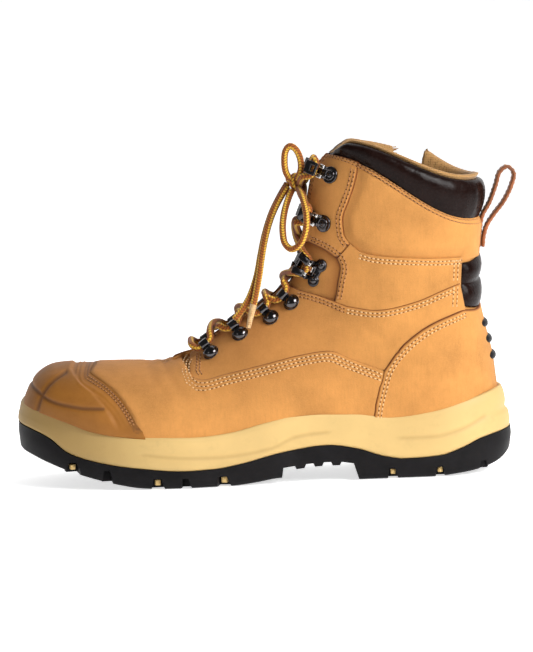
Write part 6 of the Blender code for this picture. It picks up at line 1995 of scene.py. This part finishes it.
def lace_seats():
    """Lace hardware by level: name pattern, place of the lace in it, and its seats on both sides."""
    levels = []
    for number, at in enumerate(RING_EYELETS, 1):
        levels.append(("ring_eyelet_%s_" + str(number), (RING_U, RING_N), at, QUARTER_LIFT))
    levels.append(("lock_hook_%s", LOCK_HOLE, LOCK_HOOK, BASE_TOP + 0.1))
    for number, at in enumerate(SPEED_HOOKS, 1):
        levels.append(("speed_hook_%s_" + str(number), SPEED_HOLE, at, SHAFT_TOP))
    return [(name, hole, [Seat(side, *at, lift) for side in SIDES]) for name, hole, at, lift in levels]


def make_hardware():
    models = {"ring": model_ring_eyelet(), "speed": model_speed_hook(), "lock": model_lock_hook()}
    for pattern, _, seats in lace_seats():
        model = models[pattern.split("_")[0]]
        for seat in seats:
            name = pattern % SIDE_WORDS[seat.side]
            mesh = model.data.copy()
            mesh.transform(seat.matrix())
            if seat.side == LATERAL:
                mesh.flip_normals()
            settle(linked(name + "_looks", mesh), (name,))
    for model in models.values():
        bpy.data.objects.remove(model, do_unlink=True)


# Laces

LACE_RADIUS = 2.1
CROSSING_LIFT = 3.0
TIP_STEPS = 13
KNOT_BACK = (32.4, 0.0, 184.4)


def leaving(seat, hole, way):
    """Points of a lace from the middle of its sleeve or hook, out at one end and towards the throat."""
    u, n = hole
    route = ((0.0, 0.0, 0.0), (0.2, 3.2, 0.0), (1.7, 5.5, 0.4), (4.8, 6.7, 1.2))
    return [seat.point(u + along, way * v, n + out) for along, v, out in route]


def crossing(first, last, lift, ways=(1.0, -1.0)):
    """Lace from one seat to another, lifted in the middle."""
    start = leaving(*first, ways[0])
    stop = leaving(*last, ways[1])
    out = first[0].n + last[0].n
    out[1] = 0.0
    middle = 0.5 * (start[-1] + stop[-1]) + lift * out / np.linalg.norm(out)
    return spline(start + [middle] + stop[::-1])


def make_laces():
    levels = [(hole, seats) for _, hole, seats in lace_seats()]

    def end(level, k):
        hole, seats = levels[level]
        return (seats[k], hole)

    bar_path = crossing(end(0, 0), end(0, 1), 2.2, (-1.0, -1.0))
    bar = tube_piece("lace_bar_looks", [bar_path], LACE_RADIUS, "lace_looks")
    settle(bar, ("lace_bar",))
    for number in range(1, len(levels)):
        over = CROSSING_LIFT if number % 2 else 0.0
        paths = [crossing(end(number - 1, 0), end(number, 1), over),
                 crossing(end(number - 1, 1), end(number, 0), CROSSING_LIFT - over)]
        made = tube_piece("lace_crossing_%d_looks" % number, paths, LACE_RADIUS, "lace_looks")
        settle(made, ("lace_crossing_%d" % number,))
    top = len(levels) - 1
    paths = []
    for k in (0, 1):
        out = leaving(*end(top, k), 1.0)
        knot = np.array(KNOT_BACK)
        paths.append(spline(out[:3] + [knot + np.array((0.0, SIDES[k] * 3.0, 0.0)), knot]))
    made = tube_piece("lace_top_looks", paths, LACE_RADIUS, "lace_looks")
    settle(made, ("lace_top",))


def make_bow():
    """Knot, two loops and two ends of the bow, each loop and end a tube of its own."""
    knot_paths = [spline(KNOT)]
    turns = []
    for angle in np.linspace(0.0, 2.6 * math.pi, 24):
        turns.append((25.4 + 4.2 * math.cos(angle) * 0.6 + 0.5 * angle, -4.0 + 3.6 * math.cos(angle),
                      183.4 + 4.0 * math.sin(angle)))
    knot_paths.append(spline(turns))
    knot = tube_piece("lace_knot_looks", knot_paths, LACE_RADIUS, "lace_looks")
    settle(knot, ("lace_knot",))
    narrow = np.linspace(1.0, 0.62, TIP_STEPS)
    aglet = tube_piece("lace_tip", [spline(END_ONE)[-TIP_STEPS:]], LACE_RADIUS * 1.07, "tip_looks",
                       taper=narrow)
    settle(aglet)
    rows = (("lace_loop_up", LOOP_UP, "knot", "loose", (knot,)),
            ("lace_loop_down", LOOP_DOWN, "knot", "loose", ()),
            ("lace_end_one", END_ONE, "bare", "hanging", (aglet,)),
            ("lace_end_two", END_TWO, "bare", "hanging", ()))
    for name, route, far_end, lay, pieces in rows:
        path = spline(route)
        taper = np.ones(len(path))
        if name == "lace_end_one":
            taper[-TIP_STEPS:] = narrow
        made = tube_piece(name + "_looks", [path], LACE_RADIUS, "lace_looks", taper=taper)
        settle(made, (name,))


# Stage

CAMERA_AT = (5.0, -1800.0, 257.0)
CAMERA_AIM = (5.1, 0.0, 93.4)
VIEW_HEIGHT = 410.8
VIEW_DISTANCE = 1807.4
CAMERA_ROLL = 2.0
SENSOR = 36.0
FLOOR_Z = -0.0004
FLOOR_SIZE = 12.0
FLOOR_GLOW = 0.72
SWEEP_START = 1.2
SWEEP_RADIUS = 1.5
# Lamps: name, place and aim in metres, size, share of the key light, spread in degrees
LIGHTS = (("key", (0.90, -0.75, 0.75), (0.09, 0.0, 0.08), (0.9, 0.7), 1.0, 90.0),
          ("strip", (0.80, -0.80, 0.85), (0.09, 0.0, 0.12), (0.42, 0.16), 0.22, 180.0),
          ("fill", (-1.1, -1.0, 0.6), (0.0, 0.0, 0.08), (0.28, 0.4), 0.14, 180.0),
          ("top", (0.3, 0.5, 1.5), (0.05, 0.0, 0.1), (1.3, 0.9), 0.7, 180.0))


def make_camera():
    data = bpy.data.cameras.new("camera")
    data.sensor_fit = "VERTICAL"
    data.sensor_height = SENSOR
    data.lens = SENSOR * VIEW_DISTANCE / VIEW_HEIGHT
    data.clip_start = 0.05
    made = linked("camera", data)
    at = Vector(to_frame(CAMERA_AT))
    aim = Vector(to_frame(CAMERA_AIM))
    turn = (aim - at).to_track_quat("-Z", "Y").to_matrix().to_4x4()
    made.matrix_world = Matrix.Translation(at) @ turn @ Matrix.Rotation(math.radians(-CAMERA_ROLL), 4, "Z")
    bpy.context.scene.camera = made


def add_light(name, place, aim, size, power, spread):
    data = bpy.data.lights.new(name, "AREA")
    data.shape = "RECTANGLE"
    data.size, data.size_y = size
    data.energy = power
    data.spread = math.radians(spread)
    made = linked(name, data)
    made.location = place
    made.rotation_euler = (Vector(aim) - Vector(place)).to_track_quat("-Z", "Y").to_euler()


def make_stage(looks):
    bpy.ops.object.select_all(action="DESELECT")
    bpy.ops.mesh.primitive_grid_add(x_subdivisions=4, y_subdivisions=120, size=FLOOR_SIZE,
                                    location=(0.0, 0.0, 0.0))
    floor = bpy.context.active_object
    floor.name = "floor"
    for corner in floor.data.vertices:
        past = max(corner.co.y - SWEEP_START, 0.0)
        turn = min(past / SWEEP_RADIUS, 0.5 * math.pi)
        climb = max(past - 0.5 * math.pi * SWEEP_RADIUS, 0.0)
        if past > 0.0:
            corner.co.y = SWEEP_START + SWEEP_RADIUS * math.sin(turn)
        corner.co.z = FLOOR_Z + SWEEP_RADIUS * (1.0 - math.cos(turn)) + climb
    floor.data.shade_smooth()
    floor.data.materials.append(bpy.data.materials["floor_looks"])
    world = bpy.data.worlds.new("studio")
    world.use_nodes = True
    back = world.node_tree.nodes["Background"]
    back.inputs["Color"].default_value = (1.0, 1.0, 1.0, 1.0)
    back.inputs["Strength"].default_value = looks.world_light
    bpy.context.scene.world = world
    bpy.context.scene.view_settings.view_transform = "Standard"
    for name, place, aim, size, share, spread in LIGHTS:
        add_light(name, place, aim, size, looks.key_light * share, spread)


# Add-on

def colour_prop(name, description, default):
    return bpy.props.FloatVectorProperty(name=name, description=description, subtype="COLOR", size=3,
                                         min=0.0, max=1.0, default=default)


class BootLooks(bpy.types.PropertyGroup):
    """Colours and lights of the boot."""

    nubuck: colour_prop("Nubuck", "Colour of the leather panels", (0.56, 0.252, 0.068))
    cut_edge: colour_prop("Cut edge", "Colour of cut leather edges and stitch holes", (0.15, 0.04, 0.010))
    cap: colour_prop("Toe cap", "Colour of the moulded toe cap", (0.31, 0.119, 0.017))
    foam: colour_prop("Midsole", "Colour of the midsole", (0.63, 0.43, 0.165))
    rubber: colour_prop("Outsole", "Colour of the outsole", (0.005, 0.0045, 0.005))
    collar: colour_prop("Collar", "Colour of the padded collar", (0.0085, 0.0034, 0.0026))
    mesh: colour_prop("Lining", "Colour of the mesh lining", (0.40, 0.22, 0.08))
    strap: colour_prop("Pull loop", "Colour of the strap at the back", (0.26, 0.085, 0.03))
    thread: colour_prop("Thread", "Colour of the stitching", (0.80, 0.52, 0.25))
    brown_thread: colour_prop("Brown thread", "Colour of the darker stitching", (0.46, 0.21, 0.07))
    nickel: colour_prop("Hardware", "Colour of the lace hardware", (0.075, 0.07, 0.072))
    lace_light: colour_prop("Lace light", "Light stripe of the lace", (0.83, 0.48, 0.05))
    lace_brown: colour_prop("Lace brown", "Brown stripe of the lace", (0.36, 0.10, 0.010))
    lace_dark: colour_prop("Lace dark", "Shade between the yarns", (0.06, 0.017, 0.005))
    floor: colour_prop("Floor", "Colour of the floor", (0.93, 0.93, 0.93))
    world_light: bpy.props.FloatProperty(name="Surround", description="Strength of the surrounding light",
                                         min=0.0, default=0.10)
    key_light: bpy.props.FloatProperty(name="Key", description="Power of the main light", unit="POWER",
                                       min=0.0, default=6.0)


class BootOperator(bpy.types.Operator):
    """Shared base of the boot's operators."""

    bl_idname = "boot.base"
    bl_label = "Boot piece"
    bl_options = {"REGISTER"}

    def make(self, looks):
        raise NotImplementedError

    def execute(self, context):
        self.make(context.scene.boot_looks)
        return {"FINISHED"}


class BOOT_OT_paints(BootOperator):
    """Make the materials."""

    bl_idname = "boot.paints"
    bl_label = "Materials"

    def make(self, looks):
        make_paints(looks)


class BOOT_OT_stage(BootOperator):
    """Set the camera, floor and lights."""

    bl_idname = "boot.stage"
    bl_label = "Stage"

    def make(self, looks):
        make_camera()
        make_stage(looks)


class BOOT_OT_laces(BootOperator):
    """Lay the bow and the laces."""

    bl_idname = "boot.laces"
    bl_label = "Laces"

    def make(self, looks):
        make_bow()
        make_laces()


class BOOT_OT_upper(BootOperator):
    """Make the upper, the tongue and the leather panels."""

    bl_idname = "boot.upper"
    bl_label = "Upper"

    def make(self, looks):
        make_upper()
        make_tongue()
        make_toe_cap()
        make_vamp()
        make_heel_counter()
        for side in SIDES:
            make_quarter(side, "quarter_" + SIDE_WORDS[side])
            make_shaft(side, "shaft_" + SIDE_WORDS[side])
        make_stitching()


class BOOT_OT_collar(BootOperator):
    """Make the padded collar, its lining, the heel pad, the bars, the strap and the zip."""

    bl_idname = "boot.collar"
    bl_label = "Collar and heel"

    def make(self, looks):
        make_collar("collar_pad", "collar_looks", COLLAR_PAD, 0.30)
        make_collar("collar_lining", "mesh_looks", COLLAR_LINING, 0.40)
        make_achilles_pad()
        for number, z in enumerate(HEEL_BARS, 1):
            make_heel_bar("heel_bar_%d" % number, z)
        make_pull_loop()
        make_zip()
        make_fray()


class BOOT_OT_sole(BootOperator):
    """Make the midsole, outsole and insole."""

    bl_idname = "boot.sole"
    bl_label = "Sole"

    def make(self, looks):
        make_midsole()
        make_outsole()
        make_insole()


class BOOT_OT_hardware(BootOperator):
    """Make the eyelets and hooks."""

    bl_idname = "boot.hardware"
    bl_label = "Hardware"

    def make(self, looks):
        make_hardware()


STEPS = (BOOT_OT_paints, BOOT_OT_stage, BOOT_OT_laces, BOOT_OT_upper, BOOT_OT_collar, BOOT_OT_sole,
         BOOT_OT_hardware)


class BOOT_PT_sidebar(bpy.types.Panel):
    """Buttons for the boot's pieces."""

    bl_idname = "BOOT_PT_sidebar"
    bl_label = "Boot"
    bl_space_type = "VIEW_3D"
    bl_region_type = "UI"
    bl_category = "Boot"

    def draw(self, context):
        for step in STEPS:
            self.layout.operator(step.bl_idname)
        for name in BootLooks.__annotations__:
            self.layout.prop(context.scene.boot_looks, name)


CLASSES = (BootLooks,) + STEPS + (BOOT_PT_sidebar,)


def register():
    for kind in CLASSES:
        bpy.utils.register_class(kind)
    bpy.types.Scene.boot_looks = bpy.props.PointerProperty(type=BootLooks)


def unregister():
    del bpy.types.Scene.boot_looks
    for kind in reversed(CLASSES):
        bpy.utils.unregister_class(kind)


def main():
    register()
    bpy.ops.boot.paints()
    bpy.ops.boot.stage()
    bpy.ops.boot.laces()
    bpy.ops.boot.upper()
    bpy.ops.boot.collar()
    bpy.ops.boot.sole()
    bpy.ops.boot.hardware()


if __name__ == "__main__":
    main()
